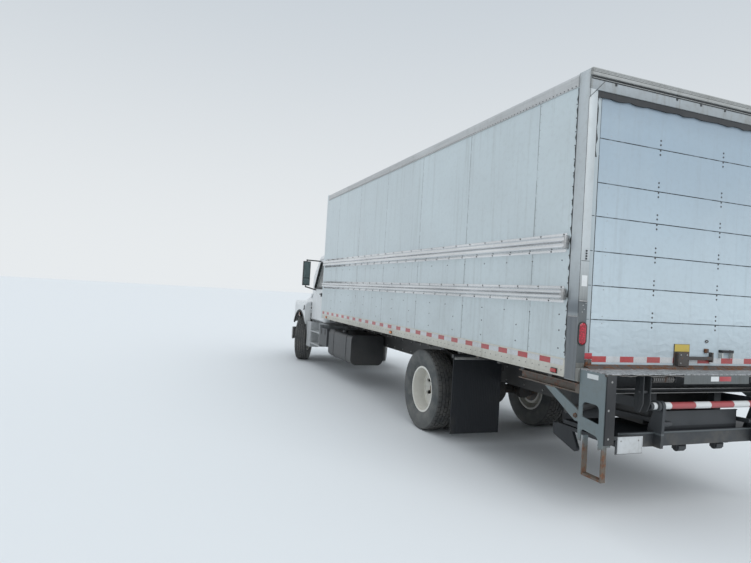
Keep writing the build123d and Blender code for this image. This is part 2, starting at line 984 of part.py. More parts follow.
def mirror_assembly():
    """Tall mirror on a looped arm from the door's upper corner."""
    rear = cab_rear + 580
    inner = cab_half_width + 220
    outer = inner + 170
    arm = (rear + 50, (inner + outer) / 2)
    corners = [(rear, inner, 25), (rear, outer, 25), (rear + 95, outer, 45), (rear + 95, inner, 45)]
    head = plan_cut(outline(corners), 1820, 2370)
    upper_root = (cab_rear + 720, cab_half_width - 90, 2397)
    lower_root = (cab_rear + 830, cab_half_width - 30, 1720)
    for root, elbow_z, head_z in ((upper_root, 2400, 2360), (lower_root, 1790, 1830)):
        elbow = arm + (elbow_z,)
        head += rod_between(root, elbow, mirror_arm_radius)
        head += Pos(*elbow) * Sphere(mirror_arm_radius + 3)
        head += rod_between(elbow, arm + (head_z,), mirror_arm_radius - 2)
    return head


def dashboard():
    """Padded dash across the cab, with a brace to the firewall."""
    rear = door_front + 4
    front = rear + 256
    face = outline([(rear, 1470, 40), (front, 1440), (front, 1690), (rear + 56, 1700, 60)])
    dash = side_cut(face, -cab_half_width, cab_half_width)
    dash += block((front - 10, cowl_x), (-300, 300), (1480, 1560))
    return dash & cab_body(cab_wall)


def steering_wheel():
    """Rim, three spokes and hub on a sloped column."""
    ring = Torus(225, 17) + Pos(0, 0, -12) * Cylinder(52, 50)
    for number in range(3):
        angle = 90 + 120 * number
        ring += Rot(0, 0, angle) * Pos(110, 0, 0) * Box(200, 36, 12)
    return Pos(*steering_place) * Rot(0, column_slope, 0) * ring


def steering_column():
    length = 320
    column = Pos(0, 0, -37 - seat_gap - length / 2) * Cylinder(40, length)
    return Pos(*steering_place) * Rot(0, column_slope, 0) * column


def seats():
    """Two bucket seats on boxes, as plain closed forms."""
    rear = cab_rear + 150
    cushion = outline(
        [
            (rear + 140, 1300, 30),
            (rear + 640, 1300, 60),
            (rear + 640, 1500, 60),
            (rear + 220, 1480),
            (rear + 120, 2060, 60),
            (rear, 2060, 50),
            (rear + 80, 1300, 30),
        ]
    )
    return side_cut(cushion, 230, 720)


def seat_boxes():
    box = block((cab_rear + 330, cab_rear + 710), (280, 670), (cab_low + cab_wall, 1300 - seat_gap))
    return both_sides(box)


def cab_mounts():
    """Pads between the chassis rails and the cab floor."""
    pads = None
    for x in (cab_rear + 100, cab_rear + 1250):
        pad = block((x, x + 90), (362, 422), (rail_top, cab_low + 5))
        pads = pad if pads is None else pads + pad
    return both_sides(pads)


# Hood


def hood_outline_side():
    return outline(
        [
            (fender_rear, hood_low),
            (fender_rear, 1600),
            (cowl_x - 60, 1745),
            (nose_x - 580, 1640, 500),
            (nose_x - 60, 1440, 110),
            (nose_x, 1150, 200),
            (nose_x - 10, hood_low, 40),
        ]
    )


def hood_outline_front():
    """Raised middle with a wide fender each side."""
    left = [
        (hood_half_width, hood_low),
        (hood_half_width, fender_top, 110),
        (790, fender_top, 60),
        (660, 1800, 120),
    ]
    right = [(-point[0],) + tuple(point[1:]) for point in reversed(left)]
    return outline(left + right)


def hood_outline_plan():
    half = hood_half_width
    return outline(
        [
            (fender_rear, half),
            (nose_x - 450, half, 240),
            (nose_x - 130, half - 130, 140),
            (nose_x, 560, 200),
            (nose_x, -560, 200),
            (nose_x - 130, -half + 130, 140),
            (nose_x - 450, -half, 240),
            (fender_rear, -half),
        ]
    )


def hood_body(inset):
    side = hood_outline_side()
    front = hood_outline_front()
    plan = hood_outline_plan()
    if inset:
        side = offset(side, -inset, kind=Kind.INTERSECTION)
        front = offset(front, -inset, kind=Kind.INTERSECTION)
        plan = offset(plan, -inset, kind=Kind.INTERSECTION)
    reach = 1600
    body = side_cut(side, -reach, reach) & front_cut(front, fender_rear - reach, nose_x + reach)
    return body & plan_cut(plan, 0, fender_top + reach)


def grille_face(gap):
    return outline(
        [
            (-grille_half_width + gap, grille_low + gap, 40),
            (grille_half_width - gap, grille_low + gap, 40),
            (grille_half_width - 40 - gap, grille_high - gap, 50),
            (-grille_half_width + 40 + gap, grille_high - gap, 50),
        ]
    )


def lamp_face(gap):
    return outline(
        [
            (590 + gap, 985 + gap, 40),
            (1000 - gap, 1010 + gap, 60),
            (985 - gap, 1260 - gap, 80),
            (605 + gap, 1295 - gap, 50),
        ]
    )


def hood_hollow():
    """The space under the hood, open at the bottom and the back."""
    half = hood_half_width - hood_wall
    skirt = block(
        (fender_rear - 60, nose_x - 40),
        (-half, half),
        (hood_low - 300, hood_low + hood_wall + 5),
    )
    space = hood_body(hood_wall) + skirt
    return space & block((fender_rear - 100, nose_x - hood_wall), (-half, half), (0, 3000))


def hood_parts():
    """Tilting hood with fenders, and the grille and headlamps set in its nose."""
    outer = hood_body(0)
    shell = outer - hood_hollow()
    shell -= cab_body(-cowl_gap)
    shell -= block((fender_rear - 50, cowl_x - 60), (-cab_half_width - 10, cab_half_width + 10), (0, 3000))
    shell -= both_sides(cross_rod(front_axle_x, arch_z, arch_radius, 560, 1300))
    layer = outer - hood_body(18)
    shell -= front_cut(grille_face(0), nose_x - 200, nose_x + 50)
    lamp_zone = both_sides(front_cut(lamp_face(0), nose_x - 350, nose_x + 50))
    shell -= lamp_zone
    lamps = both_sides(layer & front_cut(lamp_face(seat_gap), nose_x - 350, nose_x + 50))
    arm = outline(
        [
            (hood_pivot_x - 22, hood_pivot_z - 22, 20),
            (hood_pivot_x + 22, hood_pivot_z - 22, 20),
            (hood_pivot_x + 30, hood_low + 40),
            (hood_pivot_x + 100, hood_low + 60),
            (hood_pivot_x + 100, hood_low + 110),
            (hood_pivot_x - 30, hood_low + 110),
        ]
    )
    shell += both_sides(side_cut(arm, hood_arm_y, hood_arm_y + hood_arm_width))
    frame = layer & front_cut(grille_face(seat_gap), nose_x - 200, nose_x + 50)
    pitch = (grille_high - grille_low - 2 * grille_border + grille_bar_height) / grille_bars
    half = grille_half_width - 40 - grille_border
    for number in range(grille_bars):
        low = grille_low + grille_border + pitch * number
        frame -= block((nose_x - 300, nose_x + 60), (-half, half), (low, low + pitch - grille_bar_height))
    return shell, frame, lamps


def bumper_plan(inset):
    """The bumper's outline from above, with ends that wrap back, moved inwards by an inset."""
    half = bumper_half_width - inset
    front = bumper_front - inset
    left = [(front, half - 330, 500), (front - 60, half - 10, 110), (bumper_front - bumper_wrap, half)]
    right = [(point[0], -point[1]) + tuple(point[2:]) for point in reversed(left)]
    return outline(left + right)


def front_bumper():
    """Pressed channel bumper with wrapped ends and its brackets to the rails."""
    half = bumper_half_width
    back = bumper_front - bumper_depth
    bar = plan_cut(bumper_plan(0), bumper_low, bumper_top)
    bar -= plan_cut(bumper_plan(bumper_wall), bumper_low + bumper_wall, bumper_top - bumper_wall)
    bar -= block(
        (bumper_front - bumper_wrap, back),
        (-half + 40, half - 40),
        (bumper_low, bumper_top),
    )
    bar -= both_sides(
        block(
            (back - arm_slot, back + 96),
            (hood_arm_y - arm_slot, hood_arm_y + hood_arm_width + arm_slot),
            (bumper_top - bumper_wall - 1, bumper_top + 1),
        )
    )
    bracket = side_cut(
        outline(
            [
                (rail_front - 240, bumper_low + 250),
                (rail_front - 160, bumper_low + 130),
                (bumper_front - 4, bumper_low + 130),
                (bumper_front - 4, bumper_top - 4),
                (rail_front + 10, bumper_top - 4),
                (rail_front - 20, rail_top - 60),
                (rail_front - 240, rail_top - 60),
            ]
        ),
        rail_outer,
        rail_outer + 12,
    )
    pivot = cross_rod(hood_pivot_x, hood_pivot_z, 24, rail_outer + 12, hood_arm_y - seat_gap)
    bar -= both_sides(block((back, bumper_front + 1), (700, 880), (bumper_low + 120, bumper_low + 215)))
    bar -= block((back, bumper_front + 1), (-330, 330), (bumper_low + 60, bumper_low + 130))
    return bar + both_sides(bracket + pivot)


def cab_steps():
    """Two step treads on side plates, with the fairing behind the front wheel."""
    rear = cab_rear - 60
    side = cab_rear + 710
    front = fender_rear - 10
    fairing = block((side, front), (1050, 1130), (410, 985))
    fairing -= cross_rod(front_axle_x, arch_z, arch_radius, 1000, 1200)
    fairing -= block((side + 20, front - 30), (1050, 1110), (430, 965))
    steps = block((rear, side), (930, 1130), (500, 530))
    steps += block((rear, side), (930, 1130), (775, 800))
    steps += block((rear, side + 20), (930, 950), (500, 985))
    steps += block((rear, rear + 20), (930, 1130), (500, 985))
    steps += block((side, side + 20), (930, 1130), (410, 985))
    steps += block((rear + 190, rear + 250), (rail_outer, 930), (rail_top - 120, rail_top - 60))
    return fairing + steps


def cab_steps_right():
    return opposite(cab_steps()) - canister(175, 640)


# Lift gate


def gate_side_plates():
    """Plates that carry the rear bumpers, with two cut-outs and a stirrup step each."""
    low_y = plate_y - plate_thickness
    under = extension_top - 7
    rear = plate_rear + 12
    plate = side_cut(
        outline(
            [
                (plate_front, under),
                (rear, under, 20),
                (rear, 664, 20),
                (-246, 650, 10),
                (-36, 668, 10),
                (plate_front, 664, 12),
            ]
        ),
        low_y,
        plate_y,
    )
    upper = outline([(-42, 868, 14), (-42, 990, 44), (-232, 990, 44), (-236, 842, 14)])
    lower = outline([(-38, 600), (-38, 770, 30), (-236, 744, 44), (-236, 600)])
    reach = (low_y - 60, plate_y + 60)
    plate = plate - side_cut(upper, *reach) - side_cut(lower, *reach)
    back = block((rear, rear + 22), (low_y - 102, low_y), (690, under - 3))
    top = block((rear + 22, plate_front), (low_y - 102, low_y), (under - 20, under))
    ledge = block((rear, rear + 62), (low_y - 70, low_y), (676, 690))
    legs = ((-272, -260), (-66, -54))
    step = None
    for x in legs:
        leg = block(x, (low_y - 46, low_y), (400, 720))
        step = leg if step is None else step + leg
    step += block((legs[0][0], legs[1][1]), (low_y - 46, low_y), (400, 420))
    holder = block((-283, -279), (low_y - 168, low_y - 101), (735, 760))
    holder += block((-283, -279), (790, low_y - 120), (618, 760))
    for y in (836, 1014):
        holder -= Pos(-281, y, 722) * Rot(0, 90, 0) * Cylinder(3.5, 40)
    return both_sides(plate + back + top + ledge + step) + holder + gate_cross_channel()


def gate_cross_channel():
    """Small channel between the two plates, open to the rear, under the deck."""
    half = plate_y - plate_thickness / 2
    channel = block((-112, -60), (-half, half), (1062, 1100))
    return channel - block((-113, -66), (-half, half), (1068, 1094))


def dock_bumpers():
    """Rubber blocks on the plates' rear flanges."""
    outer = plate_y - plate_thickness
    return both_sides(block((plate_rear, plate_rear + 12), (outer - 90, outer), (694, 1236)))


def gate_extension():
    """Tread plate that lengthens the floor as far as the gate, with what hangs under it."""
    under = extension_top - 7
    deck = block((plate_rear, 0), (-plate_y, plate_y), (under, extension_top))
    skirt = block((plate_rear, plate_rear + 5), (-384, 384), (1168, under))
    lugs = None
    for y in (440, 716):
        lug = block((-266, -234), (y, y + 6), (1178, under + 3))
        lugs = lug if lugs is None else lugs + lug
    lugs += cross_rod(-250, 1204, 11, 440, 722)
    shackle = outline(
        [(-282, under + 3), (-282, 1010, 30), (-250, 930, 26), (-204, 930, 26), (-190, 1010, 30), (-206, under + 3)]
    )
    for y in (724, 800):
        lugs += side_cut(shackle, y, y + 8)
    lugs += cross_rod(-246, 1098, 13, 724, 830)
    return deck + skirt + both_sides(lugs)


def gate_frame():
    """Channel across the chassis ends, with side channels and braces to the plates."""
    half = body_half_width - 40
    edge = body_half_width - 32
    low = 1046
    cross = block((0, rail_rear), (-half, half), (low, portal_low))
    cross -= block((12, rail_rear), (-half, half), (low + 12, portal_low - 12))
    end = block((0, rail_rear), (rail_outer - rail_flange, rail_outer + 4), (rail_low + 60, portal_low))
    cross += both_sides(end)
    cross += block((plate_front, 0), (-edge, edge), (low, extension_top - 7))
    side = block((12, 850), (edge - 50, edge), (1040, 1120))
    side -= block((rail_rear, 851), (edge - 40, edge + 1), (1050, 1110))
    brace = side_cut(outline([(0, 812, 12), (52, 812, 12), (470, 1045), (330, 1045), (0, 898)]), edge - 12, edge)
    ear = block((plate_front, 0), (edge - 12, plate_y), (812, 898))
    return cross + both_sides(side + brace + ear)


def gate_hangers():
    """Plates bolted outside the chassis rails, with the arm, link and cylinder pivots."""
    plate = side_cut(
        outline(
            [
                (500, 700, 30),
                (900, 640, 30),
                (980, 700, 30),
                (960, 990, 30),
                (520, 990, 30),
            ]
        ),
        rail_outer,
        rail_outer + 12,
    )
    face = rail_outer + 12
    plate += cross_rod(gate_pivot_x, gate_pivot_z, 30, face, gate_arm_y - seat_gap)
    plate += cross_rod(gate_pivot_x, gate_pivot_z - gate_link_drop, 24, face, gate_link_y - seat_gap)
    plate += cross_rod(cylinder_base_x, cylinder_base_z, 24, face, cylinder_y - 34 - seat_gap)
    tie = block((700, 780), (-face, face), (670, rail_low))
    tie -= block((710, 770), (-rail_outer, rail_outer), (680, rail_low - 10))
    return both_sides(plate) + tie


def flat_link(start, end, radius):
    """Outline of a flat bar with round ends between two pins."""
    bar = rod_face(start, radius) + rod_face(end, radius)
    length = hypot(end[0] - start[0], end[1] - start[1])
    side = ((start[1] - end[1]) * radius / length, (end[0] - start[0]) * radius / length)
    corners = [
        (start[0] + side[0], start[1] + side[1]),
        (end[0] + side[0], end[1] + side[1]),
        (end[0] - side[0], end[1] - side[1]),
        (start[0] - side[0], start[1] - side[1]),
    ]
    return bar + outline(corners)


def rod_face(centre, radius):
    return Pos(*centre) * Circle(radius)


def gate_arms():
    """Lift arms joined by the round tube across the back."""
    arm = flat_link((gate_pivot_x, gate_pivot_z), (gate_heel_x, gate_heel_z), gate_arm_half)
    arms = side_cut(arm, gate_arm_y, gate_arm_y + 28)
    tube = cross_rod(gate_heel_x, gate_heel_z, gate_tube_radius, -gate_tube_half, gate_tube_half)
    return both_sides(arms) + tube


def gate_links():
    """Parallel links under the lift arms, which keep the platform level."""
    pivot = (gate_pivot_x, gate_pivot_z - gate_link_drop)
    heel = (gate_heel_x, gate_heel_z - gate_link_drop)
    link = flat_link(pivot, heel, gate_link_half)
    return both_sides(side_cut(link, gate_link_y, gate_link_y + 26))


def gate_platform():
    """Folded platform on its heel brackets, with rails along its rear edge."""
    low_z = platform_low
    x = gate_heel_x
    ring = rod_face((x, gate_heel_z), gate_tube_radius + 14)
    drop = outline([(x - 30, low_z), (x + 150, low_z), (x + 42, gate_heel_z), (x - 42, gate_heel_z)])
    bracket = side_cut(ring + drop, 560, 590)
    bracket -= cross_rod(x, gate_heel_z, gate_tube_radius + seat_gap, 500, 650)
    pin_z = gate_heel_z - gate_link_drop
    bracket += cross_rod(x, pin_z, 22, gate_link_y + 26 + seat_gap, 560)
    half = platform_half
    panels = block((x + 60, 560), (-half, half), (low_z, low_z + 34))
    panels += block((x + 60, 470), (-half, half), (low_z + 46, low_z + 80))
    panels += block((x + 45, x + 61), (-half, half), (low_z, low_z + 112))
    panels += block((x + 34, x + 61), (-half, half), (low_z + 112, low_z + 122))
    screen_half = gate_link_y - 16
    screen = block((x + 92, x + 100), (-screen_half, screen_half), (low_z + 80, 918))
    screen += block((x + 84, x + 100), (-screen_half, screen_half), (910, 918))
    opener = side_cut(
        outline([(610, 664), (600, 560, 20), (300, 468, 30), (270, 500, 25), (360, 664)]),
        half - 30,
        half,
    )
    wheel = block((x + 80, x + 130), (170, 186), (590, low_z))
    wheel += block((x + 80, x + 130), (264, 280), (590, low_z))
    wheel += cross_rod(x + 105, 604, 34, 186, 264)
    return both_sides(bracket + opener + wheel) + panels + screen


def gate_barrels():
    """Cylinder barrels, from the hangers up towards the arms."""
    base = (cylinder_base_x, cylinder_y, cylinder_base_z)
    barrel = cross_rod(base[0], base[2], 30, cylinder_y - 34, cylinder_y + 34)
    barrel += rod_between(base, along_cylinder(430), 34)
    barrel -= rod_between(along_cylinder(110), along_cylinder(440), 18.05)
    return both_sides(barrel)


def cylinder_length():
    """From the base pin to the rod's eye, with the gate folded."""
    return hypot(cylinder_eye_x - cylinder_base_x, cylinder_eye_z - cylinder_base_z)


def gate_rods():
    """Cylinder rods, each with an eye against the inner face of its arm."""
    rod = rod_between(along_cylinder(330), along_cylinder(cylinder_length()), 18)
    rod += cross_rod(cylinder_eye_x, cylinder_eye_z, 28, cylinder_y - 30, gate_arm_y - seat_gap)
    return both_sides(rod)


def along_cylinder(distance):
    """A point on the left cylinder's centre line, from its base."""
    x = cylinder_eye_x - cylinder_base_x
    z = cylinder_eye_z - cylinder_base_z
    share = distance / cylinder_length()
    return (cylinder_base_x + x * share, cylinder_y, cylinder_base_z + z * share)


def export(name, shape):
    """Write one piece with the origin midway between the bumper and the gate."""
    moved = Pos(-middle_x, 0, 0) * shape
    if isinstance(moved, ShapeList):
        moved = Compound(list(moved))
    export_step(moved, f"parts/{name}.step")


def main():
    os.makedirs("parts", exist_ok=True)
    cab_shell, door, door_glass, cab_glass = cab_parts()
    hood, grille, headlamps = hood_parts()
    latch, handle = door_latch()
    pieces = {
        "side_walls": both_sides(side_wall()),
        "bottom_rails": bottom_rails(),
        "top_rails": top_rails(),
        "front_wall": front_wall(),
        "roof": roof(),
        "body_floor": body_floor(),
        "rear_portal": rear_portal(),
        "roll_door": roll_door(),
        "door_latch": latch + handle,
        "rub_rails": rub_rails(),
        "tail_lamps": tail_lamps(),
        "chassis_frame": chassis_frame() + flap_brackets(),
        "front_axle_beam": front_axle_beam(),
        "leaf_springs": front_springs() + rear_springs(),
        "rear_axle": rear_axle(),
        "drive_shaft": drive_shaft(),
        "engine_block": engine_block(),
        "radiator": radiator(),
        "fuel_tank": fuel_tank(),
        "battery_box": battery_box(),
        "exhaust": exhaust(),
        "air_tanks": air_tanks(),
        "mud_flaps": mud_flaps(),
        "rear_tyres_left": rear_tyres(),
        "rear_tyres_right": opposite(rear_tyres()),
        "rear_wheels_left": rear_wheels(),
        "rear_wheels_right": opposite(rear_wheels()),
        "front_tyre_left": steered(front_tyre()),
        "front_tyre_right": steered_right(front_tyre()),
        "front_wheel_left": steered(front_wheel()),
        "front_wheel_right": steered_right(front_wheel()),
        "knuckle_left": steered(knuckle()),
        "knuckle_right": steered_right(knuckle()),
        "tie_rod": tie_rod(),
        "cab_shell": cab_shell + both_sides(hinge_pins()) + seat_boxes() + cab_mounts(),
        "cab_glass": cab_glass,
        "door_left": door + mirror_assembly() + hinge_knuckles(),
        "door_right": opposite(door + mirror_assembly() + hinge_knuckles()),
        "door_glass_left": door_glass,
        "door_glass_right": opposite(door_glass),
        "dashboard": dashboard() + steering_column(),
        "steering_wheel": steering_wheel(),
        "seats": both_sides(seats()),
        "hood": hood,
        "grille": grille,
        "headlamps": headlamps,
        "front_bumper": front_bumper(),
        "cab_steps": cab_steps() + cab_steps_right(),
        "gate_side_plates": gate_side_plates(),
        "dock_bumpers": dock_bumpers(),
        "gate_extension": gate_extension(),
        "gate_frame": gate_frame() + gate_hangers(),
        "gate_arms": gate_arms(),
        "gate_links": gate_links(),
        "gate_platform": gate_platform(),
        "gate_barrels": gate_barrels(),
        "gate_rods": gate_rods(),
    }
    for name, shape in pieces.items():
        export(name, shape)


if __name__ == "__main__":
    main()
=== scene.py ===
from math import atan2, cos, hypot, pi, radians, sin, tan

import bmesh
import bpy
from mathutils import Matrix, Vector


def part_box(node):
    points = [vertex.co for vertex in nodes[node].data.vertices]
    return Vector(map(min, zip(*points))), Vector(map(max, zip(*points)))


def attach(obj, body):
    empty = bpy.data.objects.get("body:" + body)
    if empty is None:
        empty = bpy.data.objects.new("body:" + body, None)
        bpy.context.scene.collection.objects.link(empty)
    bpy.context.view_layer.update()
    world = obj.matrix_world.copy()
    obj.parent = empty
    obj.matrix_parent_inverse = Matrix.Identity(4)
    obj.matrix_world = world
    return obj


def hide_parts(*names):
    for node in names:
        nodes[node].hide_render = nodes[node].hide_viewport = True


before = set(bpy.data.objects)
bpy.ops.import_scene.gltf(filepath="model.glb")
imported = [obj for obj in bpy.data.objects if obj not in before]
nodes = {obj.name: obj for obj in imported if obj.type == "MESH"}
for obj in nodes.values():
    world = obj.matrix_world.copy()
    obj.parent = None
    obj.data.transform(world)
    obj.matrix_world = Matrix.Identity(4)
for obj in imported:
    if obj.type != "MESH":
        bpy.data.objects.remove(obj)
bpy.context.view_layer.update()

# The truck stands on a plain pale floor under the even light of an overcast sky. It is
# seen from behind its left rear corner at eye height, as someone walking up to the lift
# gate sees it, and the camera is tilted a little to one side.
rear_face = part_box("rear_portal")[0].x
eye = Vector((rear_face - 3.728, 4.472, 1.785))
view_yaw, view_pitch, view_roll = radians(-20.968), radians(0.961), radians(3.386)
focal_pixels, frame_pixels, sensor = 565.14, 751, 36

ahead = Vector((cos(view_yaw) * cos(view_pitch), sin(view_yaw) * cos(view_pitch), sin(view_pitch)))
level_right = ahead.cross(Vector((0, 0, 1))).normalized()
level_up = level_right.cross(ahead)
right = level_right * cos(view_roll) + level_up * sin(view_roll)
up = level_up * cos(view_roll) - level_right * sin(view_roll)
camera = bpy.data.objects.new("camera", bpy.data.cameras.new("camera"))
camera.data.sensor_width = sensor
camera.data.lens = focal_pixels / frame_pixels * sensor
camera.data.clip_end = 400
camera.matrix_world = Matrix.Translation(eye) @ Matrix((right, up, -ahead)).transposed().to_4x4()
bpy.context.scene.collection.objects.link(camera)
bpy.context.scene.camera = camera
bpy.context.scene.view_settings.view_transform = "Standard"

sky = bpy.data.worlds.new("overcast sky")
bpy.context.scene.world = sky
sky.use_nodes = True
sky.node_tree.nodes.clear()


def add_node(tree, kind, inputs=None, **settings):
    """Adds a shader node; each input is a value or the output socket that feeds it."""
    node = tree.nodes.new("ShaderNode" + kind)
    for name, value in settings.items():
        setattr(node, name, value)
    for name, value in (inputs or {}).items():
        if isinstance(value, bpy.types.NodeSocket):
            tree.links.new(value, node.inputs[name])
        else:
            node.inputs[name].default_value = value
    return node


def maths(tree, operation, *values, clamp=False):
    """The result of one Math node."""
    inputs = dict(enumerate(values))
    return add_node(tree, "Math", inputs, operation=operation, use_clamp=clamp).outputs[0]


def times(tree, first, second):
    return maths(tree, "MULTIPLY", first, second)


def plus(tree, first, second):
    return maths(tree, "ADD", first, second)


def minus(tree, first, second):
    return maths(tree, "SUBTRACT", first, second)


def spread(tree, value, low, high, to_low=0.0, to_high=1.0):
    """A value's place between two limits, with soft ends."""
    inputs = {"Value": value, "From Min": low, "From Max": high, "To Min": to_low, "To Max": to_high}
    return add_node(tree, "MapRange", inputs, interpolation_type="SMOOTHSTEP").outputs[0]


def blend_colours(tree, share, first, second):
    """Two colours mixed by a share."""
    inputs = {0: share, 6: first, 7: second}
    return add_node(tree, "Mix", inputs, data_type="RGBA").outputs[2]


def colour(red, green, blue):
    return (red, green, blue, 1)


tree = sky.node_tree
rays = add_node(tree, "LightPath").outputs
sky_way = add_node(tree, "TexCoord").outputs["Generated"]
zenith_share = spread(tree, add_node(tree, "SeparateXYZ", {0: sky_way}).outputs["Z"], 0.0, 0.7)
seen_sky = blend_colours(tree, zenith_share, colour(0.80, 0.83, 0.85), colour(0.52, 0.58, 0.64))
lit_sky = add_node(tree, "Background", {"Color": colour(0.86, 0.93, 1.0), "Strength": 0.82})
shown_sky = add_node(tree, "Background", {"Color": seen_sky, "Strength": 1.0})
bounced = maths(tree, "MAXIMUM", rays["Is Glossy Ray"], rays["Is Transmission Ray"])
shown = maths(tree, "MAXIMUM", rays["Is Camera Ray"], bounced)
sky_mix = add_node(tree, "MixShader", {0: shown, 1: lit_sky.outputs[0], 2: shown_sky.outputs[0]})
add_node(tree, "OutputWorld", {"Surface": sky_mix.outputs[0]})

for lamp_name, lamp_turn, lamp_strength in (("lamp behind the viewer", (radians(50), 0, radians(-78)),
                                             1.3), ("lamp over the far side",
                                                    (radians(-35), 0, radians(-40)), 0.35)):
    lamp = bpy.data.objects.new(lamp_name, bpy.data.lights.new(lamp_name, "SUN"))
    lamp.data.energy = lamp_strength
    lamp.data.angle = radians(50)
    lamp.rotation_euler = lamp_turn
    bpy.context.scene.collection.objects.link(lamp)


def feed(tree, socket, value):
    """Gives a shader's socket a value, or the output that varies over the surface."""
    if isinstance(value, bpy.types.NodeSocket):
        tree.links.new(value, socket)
    else:
        socket.default_value = value


def connect(tree, shader, tint, rough, relief=None, strength=0.3, distance=0.001, metallic=0.0):
    """Feeds a shader its colour, roughness and bumps."""
    feed(tree, shader.inputs["Base Color"], tint)
    feed(tree, shader.inputs["Roughness"], rough)
    feed(tree, shader.inputs["Metallic"], metallic)
    if relief is not None:
        bump = add_node(tree, "Bump", {"Height": relief, "Strength": strength, "Distance": distance})
        feed(tree, shader.inputs["Normal"], bump.outputs[0])


def new_material(name):
    """An empty node material with its tree and its shader."""
    material = bpy.data.materials.new(name)
    material.use_nodes = True
    tree = material.node_tree
    tree.nodes.clear()
    shader = add_node(tree, "BsdfPrincipled")
    add_node(tree, "OutputMaterial", {"Surface": shader.outputs[0]})
    return material, tree, shader


def place_in(tree):
    """Object coordinates, which are the truck's own frame, and their three parts."""
    place = add_node(tree, "TexCoord").outputs["Object"]
    parts = add_node(tree, "SeparateXYZ", {0: place}).outputs
    return place, parts["X"], parts["Y"], parts["Z"]


def noise(tree, place, scale, detail=4.0, stretch=(1, 1, 1), roughness=0.55):
    """A noise value, with its pattern stretched along the axes by a Mapping node."""
    mapped = add_node(tree, "Mapping", {"Vector": place, "Scale": stretch}).outputs[0]
    inputs = {"Vector": mapped, "Scale": scale, "Detail": detail, "Roughness": roughness}
    return add_node(tree, "TexNoise", inputs).outputs[0]


def skin(shape, rows, closed=False):
    """Skins rows of corners from one to the next; the ends meet, or each has a cap."""
    following_rows = rows[1:] + rows[:1] if closed else rows[1:]
    for first, second in zip(rows, following_rows):
        for number in range(len(first)):
            following = (number + 1) % len(first)
            shape.faces.new((first[number], first[following], second[following], second[number]))
    if not closed:
        shape.faces.new(rows[0])
        shape.faces.new(list(reversed(rows[-1])))


def to_mesh(name, shape, material, body, smooth=35):
    """Turns a bmesh into a finished piece that rides on a body."""
    mesh = bpy.data.meshes.new(name)
    bmesh.ops.recalc_face_normals(shape, faces=shape.faces[:])
    shape.to_mesh(mesh)
    shape.free()
    mesh.materials.append(material)
    mesh.shade_smooth()
    mesh.set_sharp_from_angle(angle=radians(smooth))
    piece = bpy.data.objects.new(name, mesh)
    bpy.context.scene.collection.objects.link(piece)
    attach(piece, body)
    return piece


floor = bmesh.new()
bmesh.ops.create_circle(floor, cap_ends=True, radius=160, segments=96)
floor_material, tree, shader = new_material("pale floor")
connect(tree, shader, colour(0.70, 0.72, 0.73), 0.9)
floor_mesh = bpy.data.meshes.new("floor")
floor.to_mesh(floor_mesh)
floor.free()
floor_mesh.materials.append(floor_material)
floor_piece = bpy.data.objects.new("floor", floor_mesh)
bpy.context.scene.collection.objects.link(floor_piece)

# The chassis is a ladder of two pressed channels with crossmembers, painted black and
# coated with road dust. Its bolts are zinc plated. The same weathering, with other
# values, covers every painted piece of the truck.
weathering = bpy.data.node_groups.new("weathering", "ShaderNodeTree")
for socket, kind in (("Paint", "NodeSocketColor"), ("Dirt", "NodeSocketColor"),
                     ("Rust", "NodeSocketColor"), ("Dirt Amount", "NodeSocketFloat"),
                     ("Streaks", "NodeSocketFloat"), ("Rust Amount", "NodeSocketFloat"),
                     ("Low", "NodeSocketFloat"), ("High", "NodeSocketFloat"),
                     ("Gloss", "NodeSocketFloat")):
    weathering.interface.new_socket(socket, in_out="INPUT", socket_type=kind)
for socket, kind in (("Colour", "NodeSocketColor"), ("Roughness", "NodeSocketFloat"),
                     ("Height", "NodeSocketFloat"), ("Worn", "NodeSocketFloat")):
    weathering.interface.new_socket(socket, in_out="OUTPUT", socket_type=kind)
tree = weathering
given = tree.nodes.new("NodeGroupInput").outputs
place, along, across, height = place_in(tree)
broad = noise(tree, place, 1.3, 5)
fine = noise(tree, place, 22, 5)
runs = noise(tree, place, 1.0, 5, stretch=(17, 17, 0.7), roughness=0.62)
speckle = noise(tree, place, 90, 3)
low_share = add_node(tree, "MapRange", {"Value": height, "From Min": given["Low"],
                                        "From Max": given["High"], "To Min": 1.0,
                                        "To Max": 0.0}).outputs[0]
cling = times(tree, low_share, spread(tree, broad, 0.32, 0.68, 0.45, 1.0))
streak = times(tree, spread(tree, runs, 0.5, 0.78), given["Streaks"])
patches = times(tree, spread(tree, fine, 0.45, 0.75), 0.35)
dirt_share = plus(tree, plus(tree, cling, streak), patches)
dirt_share = maths(tree, "MULTIPLY", dirt_share, given["Dirt Amount"], clamp=True)
rust_field = plus(tree, fine, times(tree, minus(tree, broad, 0.5), 0.5))
rust_edge = minus(tree, 0.86, times(tree, given["Rust Amount"], 0.5))
rust_share = add_node(tree, "MapRange", {"Value": rust_field, "From Min": rust_edge,
                                         "From Max": plus(tree, rust_edge, 0.09)}).outputs[0]
rust_tone = blend_colours(tree, spread(tree, speckle, 0.35, 0.65), given["Rust"],
                          colour(0.055, 0.028, 0.018))
shade = blend_colours(tree, times(tree, spread(tree, broad, 0.3, 0.7), 0.10), given["Paint"],
                      colour(0.3, 0.3, 0.3))
soiled = blend_colours(tree, dirt_share, shade, given["Dirt"])
coloured = blend_colours(tree, rust_share, soiled, rust_tone)
rough = plus(tree, given["Gloss"], times(tree, dirt_share, 0.35))
rough = maths(tree, "ADD", rough, maths(tree, "MULTIPLY", rust_share, 0.3), clamp=True)
bumps = times(tree, speckle, plus(tree, rust_share, times(tree, dirt_share, 0.3)))
result = tree.nodes.new("NodeGroupOutput")
